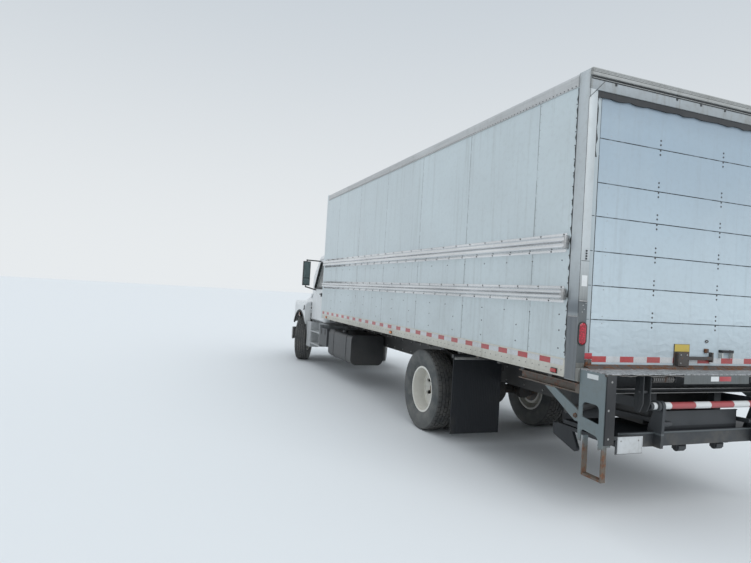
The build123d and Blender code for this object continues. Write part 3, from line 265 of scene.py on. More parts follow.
tree.links.new(coloured, result.inputs["Colour"])
tree.links.new(rough, result.inputs["Roughness"])
tree.links.new(bumps, result.inputs["Height"])
tree.links.new(rust_share, result.inputs["Worn"])

dust = colour(0.13, 0.115, 0.095)
rust_brown = colour(0.19, 0.075, 0.03)


def weather(tree, paint, gloss, dirt=dust, dirt_amount=0.5, streaks=0.3, rust_amount=0.0, low=0.2,
            high=3.0):
    """Places the weathering group and returns its outputs."""
    group = tree.nodes.new("ShaderNodeGroup")
    group.node_tree = weathering
    values = {"Paint": paint, "Dirt": dirt, "Rust": rust_brown, "Dirt Amount": dirt_amount,
              "Streaks": streaks, "Rust Amount": rust_amount, "Low": low, "High": high, "Gloss": gloss}
    for socket, value in values.items():
        feed(tree, group.inputs[socket], value)
    return group.outputs


def weathered(name, paint, gloss, metallic=0.0, bump=0.25, grain=0.0015, coat=0.0, **weather_values):
    """A painted or plain finish with dust, streaks and rust of its own."""
    material, tree, shader = new_material(name)
    worn = weather(tree, paint, gloss, **weather_values)
    metal = times(tree, minus(tree, 1.0, worn["Worn"]), metallic) if metallic else 0.0
    connect(tree, shader, worn["Colour"], worn["Roughness"], worn["Height"], bump, grain, metal)
    shader.inputs["Coat Weight"].default_value = coat
    return material


def dress(material, *names):
    """Gives CAD pieces their finish."""
    for name in names:
        mesh = nodes[name].data
        mesh.materials.clear()
        mesh.materials.append(material)


chassis_black = weathered("chassis black", colour(0.022, 0.023, 0.025), 0.42,
                          dirt=colour(0.085, 0.08, 0.07), dirt_amount=0.55, streaks=0.35,
                          rust_amount=0.34, low=0.1, high=1.6)
cast_grey = weathered("bare casting", colour(0.05, 0.05, 0.052), 0.55, dirt=colour(0.10, 0.09, 0.075),
                      dirt_amount=0.7, rust_amount=0.5, low=0.0, high=1.4, bump=0.5)
zinc = weathered("zinc plate", colour(0.42, 0.42, 0.41), 0.36, metallic=0.9, dirt_amount=0.5,
                 rust_amount=0.32, low=0.0, high=1.6)
dress(chassis_black, "chassis_frame", "drive_shaft", "air_tanks", "gate_barrels")
dress(cast_grey, "front_axle_beam", "leaf_springs", "rear_axle", "engine_block", "knuckle_left",
      "knuckle_right", "tie_rod")
dress(weathered("radiator black", colour(0.03, 0.03, 0.032), 0.5, dirt_amount=0.4), "radiator")


def turn_to(axis):
    """The rotation that takes +Z to an axis."""
    return Vector((0, 0, 1)).rotation_difference(Vector(axis)).to_matrix().to_4x4()


def studs(name, body, material, places, axis, radius, depth, sides=6, taper=0.85):
    """Like bolt heads or rivets at a list of places, joined as one piece."""
    shape = bmesh.new()
    turn = turn_to(axis)
    rise = Vector(axis).normalized() * depth / 2
    for point in places:
        bmesh.ops.create_cone(shape, cap_ends=True, segments=sides, radius1=radius,
                              radius2=radius * taper, depth=depth,
                              matrix=Matrix.Translation(Vector(point) + rise) @ turn)
    return to_mesh(name, shape, material, body)


sides = ((1, "left"), (-1, "right"))
web_y = 0.432
bolt_start, bolt_pitch, bolt_count = 0.74, 0.35, 28
for side, side_name in sides:
    studs(f"frame_bolts_{side_name}", "root", zinc,
          [(rear_face + bolt_start + bolt_pitch * number, web_y * side, z) for number in range(bolt_count)
           for z in (0.80, 0.96)], (0, side, 0), 0.013, 0.010)

# Tyres are truck radials, 1.05 m across: a tread of five ribs cut into blocks, square
# shoulders and a sidewall with moulded rings. They hold dust low on the sidewall and in
# the tread.
tyre_radius, tyre_half, bead_radius = 0.525, 0.140, 0.287
tread_pitches, slot_depth, groove_depth = 48, 0.009, 0.013
parked_steer = radians(-25)
ribs = ((-0.116, -0.0785, 1), (-0.0665, -0.0295, 2), (-0.0175, 0.0175, 1), (0.0295, 0.0665, 2),
        (0.0785, 0.116, 1))
sidewall = ((bead_radius, 0.100), (0.300, 0.104), (0.318, 0.119), (0.326, 0.119), (0.345, 0.131),
            (0.375, 0.138), (0.402, 0.1395), (0.432, 0.1395), (0.452, 0.1372), (0.455, 0.1388),
            (0.466, 0.1372), (0.470, 0.1352), (0.493, 0.1315), (0.509, 0.1275), (0.517, 0.1215))
slot_states = ((0.34, 0, 0), (0.36, 0, 1), (0.48, 0, 1), (0.50, 0, 0), (0.84, 0, 0), (0.86, 1, 0),
               (0.98, 1, 0), (1.0, 0, 0))


def crown(across):
    """The tread's radius, which falls a little towards the shoulders."""
    return tyre_radius - 0.004 * (across / 0.116) ** 2


def tyre_shape():
    """One tyre about the y axis: a profile drawn once, and carried round pitch by pitch."""
    profile = [(radius, -across, 0) for radius, across in sidewall]
    for number, (low, high, group) in enumerate(ribs):
        if number:
            floor_radius = tyre_radius - groove_depth
            profile += [(floor_radius, ribs[number - 1][1] + 0.002, 0), (floor_radius, low - 0.002, 0)]
        profile += [(crown(low), low, group), (crown(high), high, group)]
    profile += [(radius, across, 0) for radius, across in reversed(sidewall)]
    shape = bmesh.new()
    group_layer = shape.verts.layers.int.new("group")
    radius_layer = shape.verts.layers.float.new("radius")
    ring = []
    for radius, across, group in profile:
        vertex = shape.verts.new((0, across, radius))
        vertex[group_layer] = group
        vertex[radius_layer] = radius
        ring.append(vertex)
    edges = [shape.edges.new(pair) for pair in zip(ring, ring[1:] + ring[:1])]
    pitch = 2 * pi / tread_pitches
    for share, first_cut, second_cut in slot_states:
        grown = bmesh.ops.extrude_edge_only(shape, edges=edges)["geom"]
        edges = [item for item in grown if isinstance(item, bmesh.types.BMEdge)]
        for vertex in {vertex for edge in edges for vertex in edge.verts}:
            cut = {0: 0, 1: first_cut, 2: second_cut}[vertex[group_layer]]
            radius = vertex[radius_layer] - cut * slot_depth
            vertex.co = (radius * sin(pitch * share), vertex.co.y, radius * cos(pitch * share))
        edges = [edge for edge in edges
                 if len({round(atan2(vertex.co.x, vertex.co.z), 6) for vertex in edge.verts}) == 1]
    one_pitch = shape.verts[:] + shape.edges[:] + shape.faces[:]
    for number in range(1, tread_pitches):
        copied = bmesh.ops.duplicate(shape, geom=one_pitch)["geom"]
        turned = [item for item in copied if isinstance(item, bmesh.types.BMVert)]
        bmesh.ops.rotate(shape, verts=turned, cent=(0, 0, 0),
                         matrix=Matrix.Rotation(pitch * number, 3, "Y"))
    bmesh.ops.remove_doubles(shape, verts=shape.verts[:], dist=0.00005)
    return shape


tyre_pattern = bpy.data.meshes.new("tyre pattern")
pattern_shape = tyre_shape()
pattern_shape.to_mesh(tyre_pattern)
pattern_shape.free()


def middle(node):
    low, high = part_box(node)
    return (low + high) / 2


wheel_places = []
for side, side_name in sides:
    low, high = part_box(f"rear_tyres_{side_name}")
    centre = middle(f"rear_tyres_{side_name}")
    outer_y = side * (max(abs(low.y), abs(high.y)) - tyre_half)
    inner_y = side * (min(abs(low.y), abs(high.y)) + tyre_half)
    wheel_places.append((f"rear_tyres_{side_name}", f"rear_wheels_{side_name}", side, 0.0,
                         [Vector((centre.x, y, centre.z)) for y in (outer_y, inner_y)]))
    wheel_places.append((f"front_tyre_{side_name}", f"front_wheel_{side_name}", side, parked_steer,
                         [middle(f"front_tyre_{side_name}")]))


def about_axle(tree, centre, steer):
    """Object coordinates, the height, and the distance from an axle that is steered by an angle."""
    place, along, across, height = place_in(tree)
    hub = add_node(tree, "VectorMath", {0: place, 1: centre}, operation="SUBTRACT").outputs[0]
    axle = (-sin(steer), cos(steer), 0)
    depth = add_node(tree, "VectorMath", {0: hub, 1: axle}, operation="DOT_PRODUCT").outputs["Value"]
    reach = add_node(tree, "VectorMath", {0: hub}, operation="LENGTH").outputs["Value"]
    squares = minus(tree, times(tree, reach, reach), times(tree, depth, depth))
    return place, height, maths(tree, "SQRT", maths(tree, "MAXIMUM", squares, 0.0))


for tyre_node, wheel_node, side, steer, centres in wheel_places:
    material, tree, shader = new_material(f"rubber {tyre_node}")
    place, height, radial = about_axle(tree, centres[0], steer)
    tread_share = spread(tree, radial, 0.500, 0.514)
    groove_shade_share = times(tree, spread(tree, radial, 0.505, 0.520, 1.0, 0.0), tread_share)
    clouds = noise(tree, place, 6, 6)
    dusty = plus(tree, spread(tree, clouds, 0.35, 0.75, 0.05, 0.5),
                 spread(tree, height, 0.45, 0.0, 0.0, 0.3))
    side_tone = blend_colours(tree, dusty, colour(0.058, 0.064, 0.066), colour(0.200, 0.195, 0.178))
    tread_tone = blend_colours(tree, spread(tree, clouds, 0.3, 0.7, 0.15, 0.8),
                               colour(0.058, 0.061, 0.063), colour(0.140, 0.135, 0.124))
    # The groove floors are drawn near black, darker than the rubber: painted shade in the grooves.
    tread_tone = blend_colours(tree, groove_shade_share, tread_tone, colour(0.014, 0.014, 0.014))
    grain = noise(tree, place, 160, 2)
    rings = maths(tree, "SINE", times(tree, radial, 900))
    rings = times(tree, rings, spread(tree, radial, 0.46, 0.40))
    relief = plus(tree, times(tree, rings, 0.3), grain)
    connect(tree, shader, blend_colours(tree, tread_share, side_tone, tread_tone), 0.72, relief, 0.35,
            0.0012)
    shape = bmesh.new()
    for centre in centres:
        start = len(shape.verts)
        shape.from_mesh(tyre_pattern)
        bmesh.ops.transform(shape, matrix=Matrix.Translation(centre) @ Matrix.Rotation(steer, 4, "Z"),
                            verts=shape.verts[start:])
    piece = to_mesh(f"{tyre_node}_rubber", shape, material, wheel_node, smooth=32)
    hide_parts(tyre_node)

# Wheels are steel discs painted off-white, long since dulled by brake dust, with ten
# nuts each. The front hubs carry an oil cap; the rear ones end in a flanged shaft.
nut_circle, nut_radius, nut_count = 0.1429, 0.017, 10
hub_circle, hub_count, hub_end_y = 0.08, 8, 0.95
nut_face_front, nut_face_rear = 0.149, -0.137


def circle_of(count, radius, depth):
    """Points spaced evenly on a circle about the y axis."""
    turns = [2 * pi * number / count for number in range(count)]
    return [Vector((radius * cos(turn), depth, radius * sin(turn))) for turn in turns]


for tyre_node, wheel_node, side, steer, centres in wheel_places:
    material, tree, shader = new_material(f"wheel paint {wheel_node}")
    place, height, radial = about_axle(tree, centres[0], steer)
    worn = weather(tree, colour(0.80, 0.79, 0.73), 0.42, dirt=colour(0.50, 0.45, 0.37), dirt_amount=0.40,
                   streaks=0.5, rust_amount=0.24, low=-0.2, high=1.1)
    hub_tone = blend_colours(tree, spread(tree, noise(tree, place, 14, 5), 0.35, 0.7),
                             colour(0.10, 0.095, 0.09), colour(0.20, 0.14, 0.09))
    hub_share = spread(tree, radial, 0.182, 0.172)
    connect(tree, shader, blend_colours(tree, hub_share, worn["Colour"], hub_tone), worn["Roughness"],
            worn["Height"])
    dress(material, wheel_node)
    rear = len(centres) == 2
    face = nut_face_rear if rear else nut_face_front
    hub_face = hub_end_y - abs(centres[0].y) if rear else nut_face_front + 0.030
    turn = Matrix.Translation(centres[0]) @ Matrix.Rotation(steer, 4, "Z")
    outward = turn.to_3x3() @ Vector((0, side, 0))
    spots = [turn @ point for point in circle_of(nut_count, nut_circle, face * side)]
    studs(f"{wheel_node}_nuts", wheel_node, zinc, spots, outward, nut_radius, 0.026)
    studs(f"{wheel_node}_stud_ends", wheel_node, zinc,
          [spot + outward * 0.022 for spot in spots], outward, 0.010, 0.022, 12)
    hub_spots = [turn @ point for point in circle_of(hub_count, hub_circle, hub_face * side)]
    studs(f"{wheel_node}_hub_bolts", wheel_node, zinc, hub_spots, outward, 0.008, 0.010)

# Side walls are bonded sheets, painted pale grey and joined in overlapping seams. Fasteners
# of the inner posts show as dark heads in rows, and the paint holds rain streaks, faint
# branch scratches and a slight waviness from sheet to sheet.
wall_low, wall_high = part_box("side_walls")
wall_y = wall_high.y
sheet_width = 1.2525
first_seam = rear_face + 0.690
seam_count = 6
post_pitch = sheet_width / 3
sheet_grey = colour(0.565, 0.635, 0.655)
sheet_dirt = colour(0.33, 0.35, 0.34)


def sheet_finish(name, paint, seams=True):
    """Painted sheet with streaks, a tone of its own for each panel, and fine scratches."""
    material, tree, shader = new_material(name)
    place, along, across, height = place_in(tree)
    panel = maths(tree, "FLOOR", maths(tree, "DIVIDE", minus(tree, along, first_seam), sheet_width))
    tone = add_node(tree, "TexWhiteNoise", {"W": panel}, noise_dimensions="1D").outputs["Value"]
    base = blend_colours(tree, times(tree, tone, 0.10), paint, colour(0.46, 0.50, 0.51))
    cloudy = noise(tree, place, 0.8, 6, stretch=(1, 1, 2.2), roughness=0.6)
    base = blend_colours(tree, spread(tree, cloudy, 0.42, 0.8, 0.0, 0.22), base, colour(0.66, 0.72, 0.73))
    worn = weather(tree, base, 0.34, dirt=sheet_dirt, dirt_amount=0.36, streaks=1.0, rust_amount=0.0,
                   low=1.25, high=2.1)
    tint = worn["Colour"]
    if seams:
        offset = minus(tree, along, first_seam)
        nearest = maths(tree, "PINGPONG", offset, sheet_width / 2)
        line = spread(tree, nearest, 0.0055, 0.0025)
        gaps = noise(tree, place, 1.0, 2, stretch=(0.1, 0.1, 11))
        dash = times(tree, line, spread(tree, gaps, 0.36, 0.50, 0.25, 0.85))
        tint = blend_colours(tree, dash, tint, colour(0.10, 0.11, 0.12))
        scratch = noise(tree, place, 1.0, 3, stretch=(0.5, 0.5, 90), roughness=0.7)
        band = times(tree, spread(tree, height, 2.55, 3.05), spread(tree, height, 3.55, 3.3))
        rubbed = noise(tree, place, 0.45, 3)
        band = times(tree, band, spread(tree, rubbed, 0.42, 0.6))
        scratched = times(tree, spread(tree, scratch, 0.62, 0.74), band)
        tint = blend_colours(tree, times(tree, scratched, 0.45), tint, colour(0.36, 0.40, 0.41))
    connect(tree, shader, tint, worn["Roughness"])
    waves = noise(tree, place, 1.0, 2, stretch=(1.6, 1.6, 0.8))
    fine_bump = add_node(tree, "Bump", {"Height": worn["Height"], "Strength": 0.1,
                                        "Distance": 0.0008}).outputs[0]
    broad_inputs = {"Height": waves, "Strength": 0.35, "Distance": 0.02, "Normal": fine_bump}
    feed(tree, shader.inputs["Normal"], add_node(tree, "Bump", broad_inputs).outputs[0])
    return material


wall_paint = sheet_finish("sheet side paint", sheet_grey)
dress(wall_paint, "side_walls")
dress(sheet_finish("front sheet paint", sheet_grey, seams=False), "front_wall")

# Dark fastener heads. Where they sit under the top rail, the dark also stands for the rail's shade: painted
# shade.
dark_head = weathered("darkened fastener", colour(0.055, 0.06, 0.065), 0.5, dirt_amount=0.6,
                      rust_amount=0.2)
bright_rivet = weathered("rivet", colour(0.45, 0.47, 0.48), 0.4, metallic=0.4, dirt_amount=0.5)
post_rows = ((2.147, post_pitch, 0.272, 18), (1.677, post_pitch, 0.272, 18), (1.541, 0.6285, 0.264, 12),
             (1.386, 0.6285, 0.264, 12))
seams = [first_seam + sheet_width * number for number in range(seam_count)]
seam_rivet_pitch, seam_rivet_count = 0.075, 31
top_rivet_pitch, top_rivet_count = 0.05, 150
foot_rivet_pitch, foot_rivet_count = 0.1, 75
top_rail_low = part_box("top_rails")[0].z
bottom_rail_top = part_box("bottom_rails")[1].z
for side, side_name in sides:
    out = (0, side, 0)
    heads = [(rear_face + start + pitch * number, wall_y * side, z) for z, pitch, start,
             count in post_rows for number in range(count)]
    studs(f"post_fasteners_{side_name}", "root", dark_head, heads, out, 0.0075, 0.004, 10,
          0.6)
    seam_heads = [(x - 0.014, wall_y * side, bottom_rail_top + 0.045 + seam_rivet_pitch * number)
                  for x in seams for number in range(seam_rivet_count)]
    studs(f"seam_rivets_{side_name}", "root", bright_rivet, seam_heads, out, 0.005, 0.0025,
          8, 0.6)
    # These rivets under the top rail get dark heads for the rail's shade: painted shade.
    rail_heads = [(wall_low.x + 0.03 + top_rivet_pitch * number, (wall_y + 0.008) * side,
                   top_rail_low + 0.012) for number in range(top_rivet_count)]
    studs(f"top_rail_rivets_{side_name}", "root", dark_head, rail_heads, out, 0.0065,
          0.004, 8, 0.6)
    foot_heads = [(wall_low.x + 0.04 + foot_rivet_pitch * number, wall_y * side, 1.205)
                  for number in range(foot_rivet_count)]
    studs(f"bottom_rail_rivets_{side_name}", "root", dark_head, foot_heads, out, 0.0055,
          0.003, 8, 0.6)

# The rails round the sheets are aluminium extrusions: mill finish along the roof, painted
# cream under the walls, where a band of red and silver reflecting tape runs.
def brushed(name, tone, gloss, direction, metallic=0.85, dirt_amount=0.35, streaks=0.5, rust_amount=0.0,
            low=1.0, high=2.4):
    """Bare metal whose grain runs along one axis."""
    material, tree, shader = new_material(name)
    place, along, across, height = place_in(tree)
    stretch = [70.0, 70.0, 70.0]
    stretch["xyz".index(direction)] = 1.2
    grain = noise(tree, place, 1.0, 4, stretch=stretch, roughness=0.6)
    worn = weather(tree, tone, gloss, dirt=colour(0.22, 0.21, 0.19), dirt_amount=dirt_amount,
                   streaks=streaks, rust_amount=rust_amount, low=low, high=high)
    tint = blend_colours(tree, spread(tree, grain, 0.3, 0.7, 0.0, 0.28), worn["Colour"],
                         colour(0.30, 0.31, 0.32))
    rough = plus(tree, worn["Roughness"], spread(tree, grain, 0.3, 0.7, -0.06, 0.1))
    metal = times(tree, minus(tree, 1.0, worn["Worn"]), metallic)
    connect(tree, shader, tint, rough, grain, 0.12, 0.001, metal)
    return material


mill_rail = brushed("mill aluminium", colour(0.60, 0.61, 0.61), 0.38, "x", metallic=0.45, low=3.5, high=3.8)
dress(mill_rail, "top_rails", "roof")
cream_rail = weathered("cream rail paint", colour(0.60, 0.585, 0.52), 0.42, dirt=colour(0.24, 0.22, 0.18),
                       dirt_amount=0.5, streaks=0.7, rust_amount=0.12, low=1.1, high=1.4)
dress(cream_rail, "bottom_rails")


def tape_finish(name, axis, start, pitch, red_length):
    """Reflecting tape: red and silver blocks by turns, with its fine cell pattern."""
    material, tree, shader = new_material(name)
    place, along, across, height = place_in(tree)
    run = {"x": along, "y": across}[axis]
    phase = maths(tree, "FRACT", maths(tree, "DIVIDE", minus(tree, run, start), pitch))
    red = maths(tree, "LESS_THAN", phase, red_length / pitch)
    cells = add_node(tree, "TexVoronoi", {"Vector": place, "Scale": 260.0},
                     feature="DISTANCE_TO_EDGE").outputs[0]
    cell = spread(tree, cells, 0.0, 0.12)
    silver = blend_colours(tree, cell, colour(0.46, 0.49, 0.51), colour(0.68, 0.70, 0.72))
    crimson = blend_colours(tree, cell, colour(0.30, 0.010, 0.018), colour(0.50, 0.022, 0.030))
    both = blend_colours(tree, red, silver, crimson)
    worn = weather(tree, both, 0.28, dirt=colour(0.20, 0.18, 0.15), dirt_amount=0.38, streaks=0.4,
                   low=1.2, high=1.5)
    connect(tree, shader, worn["Colour"], worn["Roughness"])
    shader.inputs["Coat Weight"].default_value = 0.4
    return material


def slab(shape, low, high, bevel=0.0):
    """Adds a box between two corners, with rounded edges where it has a bevel."""
    size = [abs(end - start) for start, end in zip(low, high)]
    centre = [(start + end) / 2 for start, end in zip(low, high)]
    matrix = Matrix.Translation(centre) @ Matrix.Diagonal((*size, 1))
    made = bmesh.ops.create_cube(shape, size=1, matrix=matrix)["verts"]
    if bevel:
        edges = {edge for vertex in made for edge in vertex.link_edges}
        bmesh.ops.bevel(shape, geom=list(edges), offset=bevel, offset_type="OFFSET", affect="EDGES",
                        segments=2, profile=0.5, material=-1, clamp_overlap=True)


def box_piece(name, boxes, material, body, bevel=0.0):
    """One piece made of boxes, each given by its low and high corners."""
    shape = bmesh.new()
    for low, high in boxes:
        slab(shape, low, high, bevel)
    return to_mesh(name, shape, material, body)


tape_low, tape_high, tape_pitch, tape_red = 1.2455, 1.2955, 0.330, 0.152
side_tape = tape_finish("side tape", "x", rear_face + 0.356, tape_pitch, tape_red)
for side, side_name in sides:
    box_piece(f"side_tape_{side_name}",
              [((wall_low.x + 0.02, (wall_y - 0.001) * side, tape_low),
                (wall_high.x - 0.01, (wall_y + 0.0006) * side, tape_high))], side_tape, "root")

lamp_red = weathered("red lamp lens", colour(0.42, 0.008, 0.012), 0.12, dirt_amount=0.25, streaks=0.2,
                     coat=0.5)
amber_lens = weathered("amber lamp lens", colour(0.75, 0.20, 0.01), 0.15, dirt_amount=0.25, coat=0.5)
black_rubber = weathered("black rubber", colour(0.018, 0.018, 0.019), 0.6, dirt_amount=0.4, low=0.0,
                         high=2.0)
side_lamp_boxes = (("side_marker_red", lamp_red, 0.30, 1.19),
                   ("side_marker_amber", amber_lens, 7.45, 1.19),
                   ("side_marker_middle", amber_lens, 4.0, 1.19))
for side, side_name in sides:
    for name, finish, x, z in side_lamp_boxes:
        x += rear_face
        box_piece(f"{name}_base_{side_name}",
                  [((x - 0.042, (wall_y - 0.001) * side, z - 0.022),
                    (x + 0.042, (wall_y + 0.005) * side, z + 0.022))], black_rubber, "root",
                  0.002)
        box_piece(f"{name}_{side_name}",
                  [((x - 0.036, (wall_y + 0.004) * side, z - 0.016),
                    (x + 0.036, (wall_y + 0.018) * side, z + 0.016))], finish, "root", 0.005)

# Rub rails are bright extrusions with a double ridge, bolted along their flanges and
# closed at the rear by a cast cap held with one large bolt.
bright_rail = brushed("bright rub rail", colour(0.80, 0.81, 0.82), 0.16, "x", metallic=1.0,
                      dirt_amount=0.22, streaks=0.2, low=1.5, high=2.6)
dress(bright_rail, "rub_rails")
rub_low, rub_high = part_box("rub_rails")
rail_levels = ((1.802, 1.904), (2.237, 2.360))
rub_bolt_pitch, rub_bolt_count = 0.3175, 24
cap_metal = brushed("rail cap", colour(0.5, 0.5, 0.5), 0.35, "z", metallic=0.8, dirt_amount=0.6, low=1.0,
                    high=2.8)
for side, side_name in sides:
    caps, bolts, flanges = [], [], []
    for low, high in rail_levels:
        caps.append(((rub_low.x - 0.014, (wall_y - 0.001) * side, low + 0.004),
                     (rub_low.x + 0.030, (wall_y + 0.0495) * side, high - 0.004)))
        flanges.append(((rub_low.x + 0.02, (wall_y - 0.001) * side, low - 0.022),
                        (rub_high.x - 0.01, (wall_y + 0.0025) * side, low + 0.002)))
        flanges.append(((rub_low.x + 0.02, (wall_y - 0.001) * side, high - 0.002),
                        (rub_high.x - 0.01, (wall_y + 0.0025) * side, high + 0.020)))
        for number in range(rub_bolt_count):
            x = rub_low.x + 0.22 + rub_bolt_pitch * number
            bolts.append((x, (wall_y + 0.002) * side, low - 0.011))
            bolts.append((x - 0.16, (wall_y + 0.002) * side, high + 0.010))
    box_piece(f"rub_rail_caps_{side_name}", caps, cap_metal, "root", 0.010)
    box_piece(f"rub_rail_flanges_{side_name}", flanges, bright_rail, "root", 0.0008)
    studs(f"rub_rail_bolts_{side_name}", "root", dark_head, bolts, (0, side, 0), 0.0085,
          0.006, 10, 0.7)
    studs(f"rub_rail_cap_bolts_{side_name}", "root", zinc,
          [(rub_low.x - 0.014, (wall_y + 0.026) * side, (low + high) / 2) for low, high in rail_levels],
          (-1, 0, 0), 0.014, 0.010)

# The rear portal is a frame of brushed steel posts and a painted header. White strips
# beside the door cover its tracks, and corner plates stiffen the frame. Sealant squeezes
# out in a ragged black line along the walls.
post_face, header_face, strip_face = rear_face + 0.040, rear_face + 0.030, rear_face + 0.050
portal_depth = rear_face + 0.17
portal_low, portal_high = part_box("rear_portal")
post_inner, strip_inner = 1.127, 1.078
sill_top, threshold_top, header_low, header_top = 1.250, 1.277, 3.577, 3.690
plate_low, plate_in = 3.506, 1.151
door_face = rear_face + 0.0553


def magnitude(tree, value):
    return maths(tree, "ABSOLUTE", value)


def below(tree, value, limit):
    return maths(tree, "LESS_THAN", value, limit)


def above(tree, value, limit):
    return maths(tree, "GREATER_THAN", value, limit)


def prism(shape, outline, start, end, axes="xz"):
    """Adds a prism: an outline in two axes, carried along the third."""
    third = ({0, 1, 2} - {"xyz".index(axis) for axis in axes}).pop()
    corners = []
    for first, second in outline:
        point = [0.0, 0.0, 0.0]
        point["xyz".index(axes[0])] = first
        point["xyz".index(axes[1])] = second
        point[third] = start
        corners.append(shape.verts.new(point))
    face = shape.faces.new(corners)
    made = bmesh.ops.extrude_face_region(shape, geom=[face])["geom"]
    shift = [0.0, 0.0, 0.0]
    shift[third] = end - start
    bmesh.ops.translate(shape, verts=[part for part in made if isinstance(part, bmesh.types.BMVert)],
                        vec=shift)


portal_steel, tree, shader = new_material("portal steel")
place, along, across, height = place_in(tree)
grain = noise(tree, place, 1.0, 4, stretch=(110, 110, 1.2), roughness=0.6)
smudge = noise(tree, place, 2.2, 6, roughness=0.6)
low_tone = blend_colours(tree, above(tree, along, post_face + 0.003), colour(0.155, 0.160, 0.150),
                         colour(0.25, 0.275, 0.29))
steel = blend_colours(tree, spread(tree, height, 1.55, 2.35), low_tone, colour(0.510, 0.550, 0.565))
steel = blend_colours(tree, spread(tree, smudge, 0.46, 0.75, 0.0, 0.35), steel, colour(0.33, 0.335, 0.32))
steel = blend_colours(tree, spread(tree, grain, 0.35, 0.7, 0.0, 0.14), steel, colour(0.55, 0.58, 0.59))
smear_band = times(tree, spread(tree, height, 1.685, 1.72), spread(tree, height, 1.86, 1.75))
steel = blend_colours(tree, times(tree, smear_band, 0.7), steel, colour(0.10, 0.12, 0.14))
worn = weather(tree, steel, 0.42, dirt=colour(0.22, 0.20, 0.17), dirt_amount=0.30, streaks=0.6,
               rust_amount=0.12, low=1.0, high=1.7)
dents = noise(tree, place, 1.0, 2, stretch=(5, 5, 2.4))
dented = times(tree, dents, spread(tree, height, 1.9, 1.5, 0.25, 1.0))
connect(tree, shader, worn["Colour"], plus(tree, 0.36, times(tree, grain, 0.14)), dented, 0.4, 0.010, 0.25)

# The cream header is drawn darker and bluer, as it looks in the cap's shade: painted shade.
cream_paint_in_shade = weathered("header paint", colour(0.37, 0.42, 0.455), 0.42, dirt=colour(0.20, 0.19, 0.165),
                        dirt_amount=0.5, streaks=1.0, rust_amount=0.12, low=3.45, high=4.3)
strip_paint = weathered("track cover paint", colour(0.385, 0.44, 0.465), 0.42,
                        dirt=colour(0.26, 0.27, 0.26), dirt_amount=0.32, streaks=0.7, rust_amount=0.10,
                        low=1.2, high=1.9)
cap_paint = weathered("header cap", colour(0.42, 0.435, 0.43), 0.45, dirt=colour(0.20, 0.195, 0.175),
                      dirt_amount=0.5, streaks=0.6, low=3.4, high=4.6)
# Black for grime, and in the header's groove for painted shade.
grime_and_shade_black = weathered("grimy black and shade", colour(0.014, 0.017, 0.021), 0.6, dirt_amount=0.22, low=0.0,
                        high=3.0)
dark_plate = weathered("scuffed dark plate", colour(0.060, 0.078, 0.092), 0.45,
                       dirt=colour(0.15, 0.15, 0.135), dirt_amount=0.5, streaks=0.6, rust_amount=0.16,
                       low=1.2, high=2.4)
cover_steel = brushed("lower post cover", colour(0.110, 0.128, 0.145), 0.34, "z", metallic=0.4,
                      dirt_amount=0.4, streaks=0.8, rust_amount=0.10, low=1.0, high=1.8)
white_sticker = weathered("blank white sticker", colour(0.66, 0.68, 0.68), 0.5, dirt_amount=0.16,
                          streaks=0.2, low=0.5, high=1.6)
ragged_seal = weathered("ragged sealant", colour(0.018, 0.02, 0.023), 0.7, dirt_amount=0.25, low=0.0,
                        high=3.0)
rusty_iron = weathered("rusty iron", colour(0.07, 0.06, 0.055), 0.7, dirt=colour(0.10, 0.085, 0.07),
                       dirt_amount=0.6, rust_amount=0.82, bump=0.7, grain=0.003, low=0.2, high=2.4)
portal_out = portal_high.y
frame_shape = bmesh.new()
slab(frame_shape, (rear_face + 0.0005, -portal_out, portal_low.z), (portal_depth, portal_out, sill_top),
     0.003)
for side in (1, -1):
    slab(frame_shape, (post_face, post_inner * side, sill_top), (portal_depth, portal_out * side, 3.7495),
         0.0035)
    plate = [(portal_out * side, plate_low), (portal_out * side, header_low), (plate_in * side, header_low)]
    prism(frame_shape, plate, header_face + 0.0004, post_face + 0.001, "yz")
portal_piece = to_mesh("portal_frame", frame_shape, portal_steel, "root")
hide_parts("rear_portal")
box_piece("portal_header",
          [((header_face, -portal_out + 0.0008, header_low),
            (portal_depth - 0.001, portal_out - 0.0008, header_top))], cream_paint_in_shade, "root",
          0.003)
box_piece("track_covers",
          [((strip_face, strip_inner * side, threshold_top),
            (portal_depth - 0.002, (post_inner + 0.002) * side, header_low + 0.004)) for side in (1, -1)],
          strip_paint, "root", 0.002)
cap_steps = ((0.012, 3.690, 3.7165), (0.0085, 3.7175, 3.7262), (0.0085, 3.7282, 3.7364),
             (0.0085, 3.7384, 3.7497))
box_piece("header_cap",
          [((rear_face + face, -portal_out + 0.002, low),
            (portal_depth - 0.004, portal_out - 0.002, high)) for face, low, high in cap_steps],
          cap_paint, "root", 0.0016)
# Black strips stand for the shade in the deep groove under the cap and in the gaps between its ribs:
# painted shade.
box_piece("header_groove",
          [((header_face - 0.0022, -portal_out + 0.010, 3.661),
            (header_face + 0.002, portal_out - 0.010, 3.6895)),
           ((rear_face + 0.011, -portal_out + 0.004, 3.716),
            (rear_face + 0.030, portal_out - 0.004, 3.7385))], grime_and_shade_black, "root")
box_piece("drip_lip",
          [((header_face - 0.006, -portal_out + 0.012, 3.6685),
            (header_face - 0.002, portal_out - 0.012, 3.6725))], cap_paint, "root")
clip_places = (0.952, 0.254, -0.041, -0.348, -0.952)
box_piece("header_clips",
          [((header_face - 0.006, y - 0.010, 3.641), (header_face + 0.001, y + 0.010, 3.664))
           for y in clip_places], grime_and_shade_black, "root", 0.003)
threshold = bmesh.new()
prism(threshold, [(rear_face - 0.030, 1.2503), (rear_face + 0.004, 1.264),
                  (rear_face + 0.050, threshold_top), (rear_face + 0.0545, threshold_top),
                  (rear_face + 0.0545, 1.2503)], -post_inner, post_inner)
to_mesh("door_threshold", threshold, rusty_iron, "root")


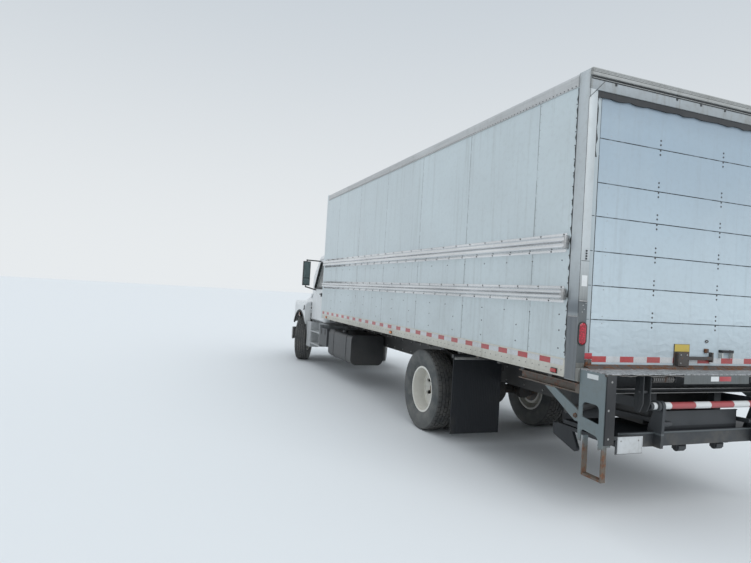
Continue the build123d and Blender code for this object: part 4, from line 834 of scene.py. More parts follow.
def ragged_strip(shape, start, along_axis, length, width_axis, width, thickness_axis, thickness, step,
                 wobble):
    """A strip whose free edge wanders in and out, as torn rubber or squeezed sealant does."""
    count = max(2, int(length / step))
    rows = []
    for number in range(count + 1):
        phase = number * 1.7 + start[0] * 3.1 + start[1] * 5.3
        out = width * (1.0 + wobble * (sin(phase) * 0.6 + sin(phase * 2.3 + 1.1) * 0.4))
        base = Vector(start) + Vector(along_axis) * (length * number / count)
        edge = base + Vector(width_axis) * out
        lift = Vector(thickness_axis) * thickness
        rows.append([shape.verts.new(point) for point in (base, edge, edge + lift, base + lift)])
    skin(shape, rows)


for side, side_name in sides:
    box_piece(f"post_cover_{side_name}",
              [((post_face - 0.004, (portal_out - 0.004) * side, 1.147),
                (rear_face + 0.160, (portal_out + 0.0026) * side, 1.674))], cover_steel, "root",
              0.0012)
    lip = bmesh.new()
    ragged_strip(lip, (post_face + 0.002, portal_out * side, 1.669), (1, 0, 0), 0.116, (0, 0, 1), 0.008,
                 (0, side, 0), 0.0038, 0.012, 0.7)
    to_mesh(f"cover_lip_{side_name}", lip, cap_metal, "root")
    box_piece(f"lamp_housing_{side_name}",
              [((post_face - 0.003, 1.129 * side, 1.290), (post_face + 0.002, 1.216 * side, 1.806))],
              dark_plate, "root", 0.0016)
    box_piece(f"housing_lip_{side_name}",
              [((post_face - 0.010, 1.130 * side, 1.799), (post_face + 0.002, 1.216 * side, 1.808))],
              cap_metal, "root", 0.0016)
    lines = bmesh.new()
    slab(lines, (-0.0012, -0.108, -0.0022), (0.002, 0.108, 0.0022))
    tilt = Matrix.Rotation(-0.801 * side, 4, "X")
    bmesh.ops.transform(lines, matrix=Matrix.Translation((header_face, 1.1455 * side, 3.583)) @ tilt,
                        verts=lines.verts[:])
    slab(lines, (post_face - 0.0006, (portal_out - 0.0022) * side, 1.70),
         (post_face + 0.001, (portal_out + 0.0006) * side, 3.506))
    slab(lines, (header_face - 0.0006, (portal_out - 0.0026) * side, 3.506),
         (header_face + 0.001, (portal_out + 0.0004) * side, 3.69))
    to_mesh(f"corner_lines_{side_name}", lines, grime_and_shade_black, "root")
    seals = bmesh.new()
    ragged_strip(seals, (strip_face - 0.002, (post_inner + 0.001) * side, 3.02), (0, 0, 1), 0.56,
                 (0, -side, 0), 0.018, (1, 0, 0), 0.004, 0.05, 0.6)
    ragged_strip(seals, (strip_face - 0.001, (strip_inner + 0.003) * side, 1.38), (0, 0, 1), 1.66,
                 (0, -side, 0), 0.0055, (1, 0, 0), 0.006, 0.11, 0.5)
    to_mesh(f"track_seal_{side_name}", seals, ragged_seal, "root")
    bead = bmesh.new()
    ragged_strip(bead, (rear_face + 0.168, (wall_y + 0.0002) * side, 1.33), (0, 0, 1), 2.29, (1, 0, 0),
                 0.010, (0, side, 0), 0.0016, 0.030, 1.0)
    to_mesh(f"wall_sealant_{side_name}", bead, ragged_seal, "root")
    studs(f"post_edge_rivets_{side_name}", "root", dark_head,
          [(rear_face + 0.184, wall_y * side, 1.36 + 0.118 * number) for number in range(19)],
          (0, side, 0), 0.006, 0.004, 8, 0.6)
    studs(f"post_screws_{side_name}", "root", bright_rivet,
          [(post_face - 0.003, y * side, z)
           for y, z in ((1.145, 1.786), (1.172, 1.768), (1.160, 1.735), (1.178, 1.712))], (-1, 0, 0),
          0.006, 0.004, 8, 0.6)
    box_piece(f"post_bits_{side_name}",
              [((post_face - 0.007, 1.158 * side, 2.150 + 0.022 * number),
                (post_face + 0.002, 1.172 * side, 2.164 + 0.022 * number))
               for number in range(4)] + [((post_face - 0.0012, post_inner * side, 2.137),
                                           (post_face + 0.001, 1.212 * side, 2.141))], grime_and_shade_black,
              "root", 0.0012)
    box_piece(f"portal_sticker_{side_name}",
              [((post_face - 0.0009, 1.142 * side, 1.927), (post_face + 0.001, 1.198 * side, 2.018))],
              white_sticker, "root")
# The seal under the header hangs 55 mm deep with a ragged edge: black rubber, and below it painted shadow
# of the header.
header_seal_and_shadow = bmesh.new()
ragged_strip(header_seal_and_shadow, (strip_face - 0.012, -post_inner, header_low + 0.002), (0, 1, 0),
             2 * post_inner, (0, 0, -1), 0.055, (1, 0, 0), 0.016, 0.07, 0.16)
to_mesh("header_seal_and_shadow", header_seal_and_shadow, ragged_seal, "root")

# The stop lamps are upright ovals with a ribbed red lens in a rubber ring, set in the
# dark housings at the foot of the posts.
lens_red, tree, shader = new_material("ribbed red lens")
place, along, across, height = place_in(tree)
rib = maths(tree, "PINGPONG", height, 0.0055)
pips = add_node(tree, "TexVoronoi", {"Vector": place, "Scale": 75.0}).outputs[0]
glow = blend_colours(tree, spread(tree, pips, 0.1, 0.6), colour(0.62, 0.010, 0.045),
                     colour(0.24, 0.003, 0.012))
connect(tree, shader, glow, 0.14, plus(tree, times(tree, rib, 120.0), pips), 0.4, 0.0015)
shader.inputs["Coat Weight"].default_value = 0.5
lamp_middle, lamp_half_height, lamp_half_width = (1.1695, 1.533), 0.091, 0.036


def oval_lathe(shape, centre_y, centre_z, half_width, half_height, profile, steps=32):
    """Sweeps a profile of (distance out, x) pairs round an upright oval."""
    rows = []
    for number in range(steps):
        turn = 2 * pi * (number + 0.5) / steps
        rise = (half_height - half_width) * (1 if sin(turn) > 0 else -1)
        rows.append([shape.verts.new((x, centre_y + (half_width + out) * cos(turn),
                                      centre_z + rise + (half_width + out) * sin(turn)))
                     for out, x in profile])
    for first, second in zip(rows, rows[1:] + rows[:1]):
        for number in range(len(profile) - 1):
            shape.faces.new((first[number], first[number + 1], second[number + 1], second[number]))
    return rows


lens_shape = bmesh.new()
for side in (1, -1):
    profile = ((-0.018, post_face - 0.0170), (-0.006, post_face - 0.0160), (0.0, post_face - 0.0120),
               (0.0, post_face - 0.002))
    rows = oval_lathe(lens_shape, lamp_middle[0] * side, lamp_middle[1], lamp_half_width,
                      lamp_half_height, profile)
    lens_shape.faces.new([row[0] for row in rows])
    lens_shape.faces.new([row[-1] for row in reversed(rows)])
lens_piece = to_mesh("stop_lamp_lenses", lens_shape, lens_red, "root")
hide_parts("tail_lamps")
ring_shape = bmesh.new()
for side in (1, -1):
    profile = ((0.0, post_face - 0.010), (0.0012, post_face - 0.0150), (0.006, post_face - 0.0145),
               (0.0085, post_face - 0.006), (0.0085, post_face - 0.001), (0.0, post_face - 0.001),
               (0.0, post_face - 0.010))
    oval_lathe(ring_shape, lamp_middle[0] * side, lamp_middle[1], lamp_half_width, lamp_half_height,
               profile)
to_mesh("stop_lamp_rings", ring_shape, black_rubber, "root")

# The door is a curtain of seven painted plywood panels that roll up overhead. Dark grime
# fills the joints, and the inner hinges hold by rows of rivets above and below each. The
# lowest panels are dented where freight has leaned on them.
panel_joints = (3.187, 2.811, 2.525, 2.230, 1.940, 1.654)
door_paint, tree, shader = new_material("door paint")
place, along, across, height = place_in(tree)
panel_number = 0.0
for joint in panel_joints:
    panel_number = plus(tree, panel_number, above(tree, height, joint))
own = add_node(tree, "TexWhiteNoise", {"W": panel_number}, noise_dimensions="1D").outputs["Value"]
# The door is drawn darker towards the top, and darker again just under the header: painted shade from the
# header.
base = blend_colours(tree, spread(tree, height, 1.7, 3.3), colour(0.490, 0.575, 0.620),
                     colour(0.325, 0.410, 0.480))
base = blend_colours(tree, times(tree, own, 0.12), base, colour(0.30, 0.37, 0.43))
cloud = noise(tree, place, 1.6, 6, roughness=0.6)
base = blend_colours(tree, spread(tree, cloud, 0.45, 0.8, 0.0, 0.25), base, colour(0.50, 0.575, 0.615))
base = blend_colours(tree, spread(tree, height, 3.30, 3.56, 0.0, 0.35), base, colour(0.17, 0.22, 0.28))
worn = weather(tree, base, 0.40, dirt=colour(0.25, 0.27, 0.28), dirt_amount=0.30, streaks=0.7, low=1.2,
               high=1.7)
tint = worn["Colour"]
for joint in panel_joints:
    gap = magnitude(tree, minus(tree, height, joint))
    tint = blend_colours(tree, spread(tree, gap, 0.0075, 0.0035, 0.0, 0.4), tint, colour(0.20, 0.235, 0.26))
leaning = noise(tree, place, 1.0, 3, stretch=(1, 2.1, 3.4), roughness=0.5)
creased = times(tree, maths(tree, "PINGPONG", leaning, 0.09), spread(tree, height, 2.1, 1.6, 0.12, 1.0))
connect(tree, shader, tint, worn["Roughness"], creased, 0.55, 0.075)
dress(door_paint, "roll_door")

joint_grime, tree, shader = new_material("joint grime")
place, along, across, height = place_in(tree)
packed = noise(tree, place, 9.0, 3, stretch=(1, 1, 0.1))
packed_tone = blend_colours(tree, spread(tree, packed, 0.48, 0.60), colour(0.018, 0.024, 0.030),
                            colour(0.15, 0.18, 0.20))
connect(tree, shader, packed_tone, 0.7)
box_piece("door_joints",
          [((door_face - 0.0003, -strip_inner, z - 0.0030), (door_face + 0.005, strip_inner, z + 0.0030))
           for z in panel_joints], joint_grime, "root")
box_piece("cover_joints",
          [((strip_face - 0.0006, 1.092 * side, z - 0.003), (strip_face + 0.001, 1.125 * side, z + 0.003))
           for z in panel_joints[2:] for side in (1, -1)], joint_grime, "root")
studs("door_hinge_rivets", "root", dark_head,
      [(door_face, y, z + rise) for z in panel_joints for y in (0.39, -0.39)
       for rise in (0.078, 0.040, -0.010, -0.048)], (-1, 0, 0), 0.0095, 0.004, 8, 0.7)
studs("door_edge_rivets", "root", bright_rivet,
      [(door_face, y, z + rise) for z in panel_joints for y in (0.95, -0.95) for rise in (0.03, -0.03)],
      (-1, 0, 0), 0.005, 0.003, 8, 0.7)
door_tape = tape_finish("door tape", "y", 0.885 - 7 * 0.305, 0.305, 0.1525)
box_piece("door_tape", [((door_face - 0.0007, -1.040, 1.296), (door_face + 0.001, 1.040, 1.346))],
          door_tape, "root")
plain_red = weathered("plain red reflector", colour(0.42, 0.010, 0.025), 0.25, dirt_amount=0.25, low=1.1,
                      high=1.6, coat=0.3)
for side, side_name in sides:
    box_piece(f"track_reflector_{side_name}",
              [((strip_face - 0.0015, 1.042 * side, 1.322), (strip_face + 0.004, 1.122 * side, 1.371))],
              plain_red, "root", 0.001)
    box_piece(f"track_bracket_{side_name}",
              [((strip_face - 0.012, 1.052 * side, 1.2505), (strip_face + 0.004, 1.116 * side, 1.318)),
               ((strip_face - 0.034, 1.060 * side, 1.2505), (strip_face + 0.002, 1.104 * side, 1.262))],
              rusty_iron, "root", 0.003)

# The latch is a rusty iron box that hooks the sill, with a long handle bar and a keeper
# ring beside it. The grab handle on its right has white feet and a black grip.
latch_iron, tree, shader = new_material("latch iron and grab handle")
place, along, across, height = place_in(tree)
worn = weather(tree, colour(0.055, 0.05, 0.048), 0.6, dirt=colour(0.09, 0.08, 0.07), dirt_amount=0.6,
               streaks=0.3, rust_amount=0.62, low=1.0, high=1.7)
foot = times(tree, below(tree, across, -0.44), below(tree, height, 1.399))
feet_paint = weather(tree, colour(0.58, 0.60, 0.58), 0.45, dirt_amount=0.4, streaks=0.6, rust_amount=0.34,
                     low=1.2, high=1.6)
grip = times(tree, below(tree, across, -0.44), above(tree, height, 1.399))
tint = blend_colours(tree, foot, worn["Colour"], feet_paint["Colour"])
tint = blend_colours(tree, grip, tint, colour(0.02, 0.021, 0.023))
connect(tree, shader, tint, 0.58, worn["Height"], 0.6, 0.002)
dress(latch_iron, "door_latch")
latch_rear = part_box("door_latch")[0].x
yellow_label = weathered("blank yellow label", colour(0.56, 0.42, 0.06), 0.45, dirt_amount=0.3,
                         streaks=0.5, low=1.2, high=1.6)
box_piece("latch_label", [((door_face - 0.0092, -0.066, 1.402), (door_face - 0.006, 0.113, 1.466))],
          yellow_label, "root")
studs("latch_bolts", "root", zinc,
      [(latch_rear + 0.0005, 0.075, 1.375), (latch_rear + 0.0005, 0.0, 1.375),
       (latch_rear + 0.0005, 0.075, 1.30)], (-1, 0, 0), 0.009, 0.006)
keeper = bmesh.new()
ring_steps, tube_sides, tube_radius = 16, 6, 0.0035
rows = []
for number in range(ring_steps):
    angle = 2 * pi * number / ring_steps
    centre = Vector((door_face - 0.006, -0.285 + 0.017 * cos(angle), 1.500 + 0.011 * sin(angle)))
    out = Vector((0, cos(angle), sin(angle))) * tube_radius
    rows.append([keeper.verts.new(centre + out * cos(turn) + Vector((tube_radius * sin(turn), 0, 0)))
                 for turn in [2 * pi * step / tube_sides for step in range(tube_sides)]])
skin(keeper, rows, closed=True)
slab(keeper, (door_face - 0.020, -0.302, 1.395), (door_face - 0.001, -0.256, 1.432), 0.004)
to_mesh("keeper_ring", keeper, rusty_iron, "root")

# The deck inside the body is laid in hardwood boards over steel cross sills. From below,
# only the grey undersides of the boards and the rusty sills show.
floor_boards, tree, shader = new_material("floor boards and sills")
place, along, across, height = place_in(tree)
board = maths(tree, "PINGPONG", across, 0.075)
fibre = noise(tree, place, 1.0, 6, stretch=(2.5, 70, 70), roughness=0.65)
board_own = add_node(tree, "TexWhiteNoise",
                     {"W": maths(tree, "FLOOR", maths(tree, "DIVIDE", across, 0.15))},
                     noise_dimensions="1D").outputs["Value"]
wood = blend_colours(tree, fibre, colour(0.13, 0.085, 0.045), colour(0.30, 0.21, 0.125))
wood = blend_colours(tree, times(tree, board_own, 0.4), wood, colour(0.17, 0.125, 0.08))
wood = blend_colours(tree, spread(tree, board, 0.0025, 0.001), wood, colour(0.02, 0.017, 0.014))
sills = weather(tree, colour(0.045, 0.047, 0.05), 0.6, dirt=colour(0.11, 0.10, 0.085), dirt_amount=0.6,
                rust_amount=0.5, low=0.9, high=1.3)
connect(tree, shader, blend_colours(tree, below(tree, height, 1.2145), wood, sills["Colour"]), 0.6, fibre)
dress(floor_boards, "body_floor")

# Three amber lamps stand in the front wall's top rail, and two at its corners.
body_front = rear_face + 7.92
front_lamp_places = (-1.10, -0.24, 0.0, 0.24, 1.10)
box_piece("front_marker_bases",
          [((body_front - 0.002, y - 0.055, 3.690), (body_front + 0.004, y + 0.055, 3.735))
           for y in front_lamp_places], black_rubber, "root", 0.003)
box_piece("front_marker_lenses",
          [((body_front + 0.003, y - 0.045, 3.696), (body_front + 0.016, y + 0.045, 3.729))
           for y in front_lamp_places], amber_lens, "root", 0.005)

# The fuel tank is a black drum of folded steel with rounded edges, hung in two bands
# from the left rail. Its seams and bands collect road dust.
tank_black = weathered("tank black", colour(0.020, 0.022, 0.025), 0.38, dirt=colour(0.085, 0.08, 0.07),
                       dirt_amount=0.42, streaks=0.4, rust_amount=0.10, bump=0.25, low=0.3, high=1.1)
dress(tank_black, "fuel_tank")
studs("tank_cap_grip", "root", dark_head, [(rear_face + 6.800, 1.000, 0.9870)], (0, 0, 1),
      0.030, 0.0006, 12, 0.9)

# The battery box is pressed steel with a ribbed lid that two rubber straps hold down.
box_steel = weathered("battery box steel", colour(0.060, 0.066, 0.074), 0.45,
                      dirt=colour(0.12, 0.115, 0.10), dirt_amount=0.5, streaks=0.6, rust_amount=0.2,
                      low=0.4, high=1.1)
dress(box_steel, "battery_box")
box_piece("battery_lid_ribs",
          [((rear_face + 7.66 + 0.085 * number, 0.60, 0.9246),
            (rear_face + 7.675 + 0.085 * number, 1.10, 0.9276)) for number in range(6)], box_steel,
          "root", 0.001)
box_piece("battery_straps", [((rear_face + x, 1.1358, 0.80), (rear_face + x + 0.03, 1.1388, 0.9245))
                             for x in (7.76, 8.04)], black_rubber, "root", 0.001)

# The exhaust cleaner and its tail pipe are stainless steel, browned by heat.
exhaust_steel, tree, shader = new_material("heat stained steel")
place, along, across, height = place_in(tree)
heat = noise(tree, place, 4.0, 5)
tone = blend_colours(tree, spread(tree, heat, 0.35, 0.65), colour(0.23, 0.20, 0.165),
                     colour(0.34, 0.32, 0.295))
worn = weather(tree, tone, 0.35, dirt=colour(0.12, 0.105, 0.085), dirt_amount=0.5, rust_amount=0.3,
               low=0.3, high=1.1)
connect(tree, shader, worn["Colour"], worn["Roughness"], metallic=0.7)
dress(exhaust_steel, "exhaust")
clamp_x = rear_face + 8.60
clamps = bmesh.new()
for shift in (-0.24, -0.08, 0.10, 0.24):
    turned = Matrix.Translation((clamp_x + shift, -0.760, 0.700)) @ Matrix.Rotation(radians(90), 4, "Y")
    bmesh.ops.create_cone(clamps, cap_ends=True, segments=40, radius1=0.1735, radius2=0.1735, depth=0.022,
                          matrix=turned)
to_mesh("cleaner_clamps", clamps, zinc, "root", smooth=40)

# The mud flaps are black rubber with moulded ribs, stiffened by a steel strip and bolts
# along the top.
flap_rubber, tree, shader = new_material("flap rubber")
place, along, across, height = place_in(tree)
rib = maths(tree, "SINE", times(tree, across, 260))
mud = noise(tree, place, 3.0, 6)
tone = blend_colours(tree, times(tree, spread(tree, mud, 0.45, 0.8), spread(tree, height, 0.7, 0.2)),
                     colour(0.0075, 0.010, 0.014), colour(0.045, 0.040, 0.033))
connect(tree, shader, tone, 0.62, rib, 0.35, 0.002)
dress(flap_rubber, "mud_flaps")
flap_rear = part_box("mud_flaps")[0].x
for side, side_name in sides:
    box_piece(f"flap_strip_{side_name}",
              [((flap_rear - 0.004, 0.56 * side, 1.028), (flap_rear + 0.001, 1.14 * side, 1.062))], zinc,
              "root", 0.001)
    studs(f"flap_bolts_{side_name}", "root", zinc,
          [(flap_rear - 0.004, (0.60 + 0.125 * number) * side, 1.045) for number in range(5)], (-1, 0, 0),
          0.009, 0.006)

# The steps under the doors are aluminium treads with dark slots pressed across them.
step_metal, tree, shader = new_material("punched step metal")
place, along, across, height = place_in(tree)
worn = weather(tree, colour(0.50, 0.515, 0.52), 0.4, dirt=colour(0.20, 0.19, 0.17), dirt_amount=0.45,
               streaks=0.5, rust_amount=0.05, low=0.3, high=1.1)
slat = maths(tree, "PINGPONG", along, 0.045)
slat_share = times(tree, spread(tree, slat, 0.010, 0.006),
                   spread(tree, magnitude(tree, across), 1.03, 1.04))
tone = blend_colours(tree, times(tree, slat_share, 0.5), worn["Colour"], colour(0.14, 0.14, 0.14))
connect(tree, shader, tone, worn["Roughness"], slat, 0.5, 0.05, 0.3)
dress(step_metal, "cab_steps")

# The cab is a welded steel shell in white enamel, dull with road film. Inside, its walls
# and doors are lined with grey moulded trim.
cab_rear = rear_face + 8.270
cab_side = 1.030
belt = 1.750
lean = 0.0988
screen_top = (rear_face + 9.130, 2.490)
screen_base = (rear_face + 9.700, 1.745)
screen_length = hypot(screen_base[0] - screen_top[0], screen_base[1] - screen_top[1])
screen_down = ((screen_base[0] - screen_top[0]) / screen_length,
               (screen_base[1] - screen_top[1]) / screen_length)
screen_out = (-screen_down[1], screen_down[0])
trim_grey = colour(0.155, 0.155, 0.15)


def lined_paint(name, paint, mirror_black=False):
    """White enamel outside, moulded trim inside, and black on what stands out of a door."""
    material, tree, shader = new_material(name)
    place, along, across, height = place_in(tree)
    out_y = magnitude(tree, across)
    film = weather(tree, paint, 0.24, dirt=colour(0.44, 0.43, 0.40), dirt_amount=0.38, streaks=0.75,
                   rust_amount=0.035, low=0.6, high=2.6)
    above_belt = maths(tree, "MAXIMUM", minus(tree, height, belt), 0.0)
    past_door = maths(tree, "MAXIMUM", minus(tree, along, rear_face + 9.350), 0.0)
    wall_at = minus(tree, cab_side, times(tree, above_belt, lean))
    wall_at = minus(tree, wall_at, times(tree, past_door, 0.55))
    inward = minus(tree, wall_at, out_y)
    screen_reach = plus(tree, times(tree, minus(tree, along, screen_top[0]), screen_out[0]),
                        times(tree, minus(tree, height, screen_top[1]), screen_out[1]))
    lining = above(tree, inward, 0.012)
    for mask in (above(tree, along, cab_rear + 0.052),
                 maths(tree, "MAXIMUM", below(tree, height, 2.440),
                       times(tree, below(tree, height, 2.505), below(tree, out_y, 0.840))),
                 below(tree, screen_reach, -0.050), below(tree, along, rear_face + 9.725),
                 above(tree, height, 1.070)):
        lining = times(tree, lining, mask)
    grain = noise(tree, place, 240, 2)
    tint = blend_colours(tree, lining, film["Colour"], trim_grey)
    rough = plus(tree, film["Roughness"], times(tree, lining, 0.35))
    if mirror_black:
        standing = times(tree, below(tree, inward, -0.010), above(tree, along, rear_face + 8.75))
        standing = times(tree, standing, above(tree, height, 1.66))
        tint = blend_colours(tree, standing, tint, colour(0.022, 0.027, 0.028))
        rough = plus(tree, rough, times(tree, standing, 0.10))
    connect(tree, shader, tint, rough, times(tree, grain, times(tree, lining, 0.5)), 0.35, 0.0012)
    return material


cab_paint = lined_paint("cab enamel", colour(0.74, 0.76, 0.77))
door_enamel = lined_paint("door enamel", colour(0.74, 0.76, 0.77), mirror_black=True)
dress(cab_paint, "cab_shell")
dress(door_enamel, "door_left", "door_right")

# The windows are laminated glass, faintly green, set in black rubber seals. The mirrors
# hang on the doors, and the door handles are black grips on a recessed plate.
window_glass, tree, shader = new_material("window glass")
connect(tree, shader, colour(0.055, 0.075, 0.075), 0.03)
shader.inputs["Alpha"].default_value = 0.42
shader.inputs["IOR"].default_value = 1.5
dress(window_glass, "cab_glass", "door_glass_left", "door_glass_right")


def rounded(corners, steps=6):
    """The outline through corners (u, v, radius), with each corner turned by an arc."""
    points = []
    for number, (u, v, radius) in enumerate(corners):
        here = Vector((u, v))
        before = (Vector(corners[number - 1][:2]) - here).normalized()
        after = (Vector(corners[(number + 1) % len(corners)][:2]) - here).normalized()
        half = before.angle(after) / 2
        reach = radius / tan(half)
        middle_way = (before + after).normalized()
        centre = here + middle_way * (radius / sin(half))
        start = here + before * reach - centre
        end = here + after * reach - centre
        for step in range(steps + 1):
            share = step / steps
            points.append(centre + (start * (1 - share) + end * share).normalized() * radius)
    return points


def seal(shape, outline_points, place_at, out_low, out_high, inner, outer):
    """Adds a closed strip along an outline, from an inner to an outer width and between two heights."""
    count = len(outline_points)
    middle_point = sum(outline_points, Vector((0, 0))) / count
    rows = []
    for number, point in enumerate(outline_points):
        way = (outline_points[(number + 1) % count] - outline_points[number - 1]).normalized()
        outward = Vector((way.y, -way.x))
        if outward.dot(point - middle_point) < 0:
            outward = -outward
        rows.append([shape.verts.new(place_at(point + outward * width, out))
                     for width, out in ((inner, out_low), (inner, out_high), (outer, out_high),
                                        (outer, out_low))])
    skin(shape, rows, closed=True)


def on_side(side):
    """Places an outline's point (x, z) on the cab's leaning side wall."""
    def place_at(point, out):
        return Vector((point.x, side * (cab_side - max(point.y - belt, 0.0) * lean + out), point.y))
    return place_at


def on_screen(point, out):
    """Places a point (y, distance down the screen) on the windscreen's plane."""
    return Vector((screen_top[0] + screen_down[0] * point.y + screen_out[0] * out, point.x,
                   screen_top[1] + screen_down[1] * point.y + screen_out[1] * out))


def on_cab_back(point, out):
    """Places a point (y, z) on the cab's leaning rear wall."""
    return Vector((cab_rear + max(point.y - belt, 0.0) * 0.0506 - out, point.x, point.y))


def down_screen(z):
    return (screen_top[1] - z) / -screen_down[1]


seal_rubber = weathered("window rubber", colour(0.018, 0.019, 0.020), 0.55,
                        dirt=colour(0.07, 0.068, 0.06), dirt_amount=0.3, bump=0.15, low=1.5, high=2.5)
door_window = [(cab_rear + 0.230, 1.765, 0.040), (cab_rear + 1.005, 1.765, 0.030),
               (cab_rear + 0.775, 2.370, 0.050), (cab_rear + 0.230, 2.370, 0.040)]
for side, side_name in sides:
    rubber = bmesh.new()
    seal(rubber, rounded(door_window), on_side(side), -0.034, 0.0035, -0.009, 0.013)
    to_mesh(f"window_seal_{side_name}", rubber, seal_rubber, f"door_{side_name}")
    latch_handle = [((rear_face + 8.505, (cab_side - 0.002) * side, 1.585),
                     (rear_face + 8.665, (cab_side + 0.004) * side, 1.665))]
    box_piece(f"handle_plate_{side_name}", latch_handle, seal_rubber, f"door_{side_name}",
              0.002)
    grip = [((rear_face + 8.515, (cab_side + 0.022) * side, 1.628),
             (rear_face + 8.655, (cab_side + 0.036) * side, 1.652)),
            ((rear_face + 8.515, (cab_side + 0.003) * side, 1.628),
             (rear_face + 8.533, (cab_side + 0.030) * side, 1.652)),
            ((rear_face + 8.637, (cab_side + 0.003) * side, 1.628),
             (rear_face + 8.655, (cab_side + 0.030) * side, 1.652))]
    box_piece(f"handle_grip_{side_name}", grip, seal_rubber, f"door_{side_name}", 0.004)
    box_piece(f"door_lining_{side_name}",
              [((rear_face + 8.56, 0.935 * side, 1.40), (rear_face + 9.15, 0.968 * side, 1.47)),
               ((rear_face + 8.62, 0.925 * side, 1.47), (rear_face + 8.90, 0.968 * side, 1.50))],
              seal_rubber, f"door_{side_name}", 0.008)
    mirror_face = rear_face + 8.850
    mirror_inner, mirror_outer = 1.2655, 1.4045
    glass = [((mirror_face - 0.0025, mirror_inner * side, 2.000),
              (mirror_face + 0.001, mirror_outer * side, 2.352)),
             ((mirror_face - 0.0025, mirror_inner * side, 1.838),
              (mirror_face + 0.001, mirror_outer * side, 1.984))]
    mirror_silver, tree, shader = new_material(f"mirror silver {side_name}")
    connect(tree, shader, colour(0.23, 0.27, 0.26), 0.04, metallic=1.0)
    box_piece(f"mirror_glass_{side_name}", glass, mirror_silver, f"door_{side_name}")

screen_outline = [(-0.850, down_screen(1.800), 0.05), (0.850, down_screen(1.800), 0.05),
                  (0.800, down_screen(2.420), 0.06), (-0.800, down_screen(2.420), 0.06)]
rubber = bmesh.new()
seal(rubber, rounded(screen_outline), on_screen, -0.034, 0.0035, -0.010, 0.014)
back_outline = [(-0.460, 1.850, 0.05), (0.460, 1.850, 0.05), (0.440, 2.250, 0.05), (-0.440, 2.250, 0.05)]
seal(rubber, rounded(back_outline), on_cab_back, -0.034, 0.0035, -0.010, 0.014)
to_mesh("screen_seals", rubber, seal_rubber, "root")

# Two wipers rest along the foot of the windscreen, each a black arm with a jointed
# frame and a rubber blade.
wiper = bmesh.new()


def bar_on_screen(shape, start, end, width, low, high):
    """Adds a straight bar between two points of the screen's plane."""
    way = (Vector(end) - Vector(start)).normalized()
    aside = Vector((way.y, -way.x)) * (width / 2)
    corners = [Vector(start) + aside, Vector(start) - aside, Vector(end) - aside, Vector(end) + aside]
    bottom = [shape.verts.new(on_screen(corner, low)) for corner in corners]
    top = [shape.verts.new(on_screen(corner, high)) for corner in corners]
    skin(shape, [bottom, top])


pivot_down = down_screen(1.772)
for pivot_y, blade_start, blade_end in ((0.62, 0.66, 0.06), (-0.08, -0.04, -0.64)):
    tip = (blade_start + blade_end) / 2
    bar_on_screen(wiper, (pivot_y, pivot_down), (tip, pivot_down - 0.105), 0.016, 0.010, 0.020)
    bar_on_screen(wiper, (blade_start, pivot_down - 0.062), (blade_end, pivot_down - 0.150), 0.007,
                  -0.022, 0.000)
    bar_on_screen(wiper, (blade_start - 0.1, pivot_down - 0.078), (blade_end + 0.1, pivot_down - 0.135),
                  0.012, 0.000, 0.010)
    bmesh.ops.create_cone(wiper, cap_ends=True, segments=12, radius1=0.017, radius2=0.012, depth=0.030,
                          matrix=Matrix.Translation(on_screen(Vector((pivot_y, pivot_down)), 0.010))
                          @ turn_to((screen_out[0], 0, screen_out[1])))
to_mesh("wipers", wiper, seal_rubber, "root")

# Five amber marker lamps stand along the roof's front edge, on black feet.
lamp_feet, lamp_lenses = [], []
for y in (-0.78, -0.20, 0.0, 0.20, 0.78):
    lamp_feet.append(((rear_face + 8.925, y - 0.055, 2.552), (rear_face + 8.990, y + 0.055, 2.566)))
    lamp_lenses.append(((rear_face + 8.932, y - 0.047, 2.565), (rear_face + 8.984, y + 0.047, 2.586)))
box_piece("roof_lamp_feet", lamp_feet, seal_rubber, "root", 0.003)
box_piece("roof_lamps", lamp_lenses, amber_lens, "root", 0.009)

# The dash is padded vinyl with a hooded cluster in front of the wheel, round vents and
# a column of switches in the middle.
dash_vinyl = weathered("dash vinyl", colour(0.060, 0.060, 0.062), 0.55, dirt=colour(0.11, 0.105, 0.095),
                       dirt_amount=0.25, bump=0.25, grain=0.0008, low=1.3, high=2.0)
dress(dash_vinyl, "dashboard", "steering_wheel")
dash_face = rear_face + 9.384
dial_black, tree, shader = new_material("dial black")
connect(tree, shader, colour(0.010, 0.011, 0.012), 0.12)
box_piece("cluster_glass", [((dash_face - 0.006, 0.300, 1.545), (dash_face + 0.002, 0.660, 1.665))],
          dial_black, "root", 0.002)
dial_rings = bmesh.new()
for y in (0.385, 0.575):
    turned = Matrix.Translation((dash_face - 0.008, y, 1.605)) @ turn_to((-1, 0, 0))
    bmesh.ops.create_cone(dial_rings, cap_ends=True, segments=28, radius1=0.050, radius2=0.046,
                          depth=0.005, matrix=turned)
to_mesh("dials", dial_rings, white_sticker, "root")
box_piece("dash_centre", [((dash_face - 0.010, -0.150, 1.500), (dash_face + 0.002, 0.120, 1.672))],
          dial_black, "root", 0.004)
box_piece("dash_vents",
          [((dash_face - 0.006, y - 0.06, 1.590 + 0.014 * row),
            (dash_face + 0.002, y + 0.06, 1.597 + 0.014 * row)) for y in (-0.80, -0.28, 0.80)
           for row in range(5)], dash_vinyl, "root", 0.001)
studs("dash_knobs", "root", dash_vinyl, [(dash_face - 0.010, y, 1.535)
                                                       for y in (-0.10, -0.015, 0.07)], (-1, 0, 0), 0.018,
      0.018, 16, 0.9)

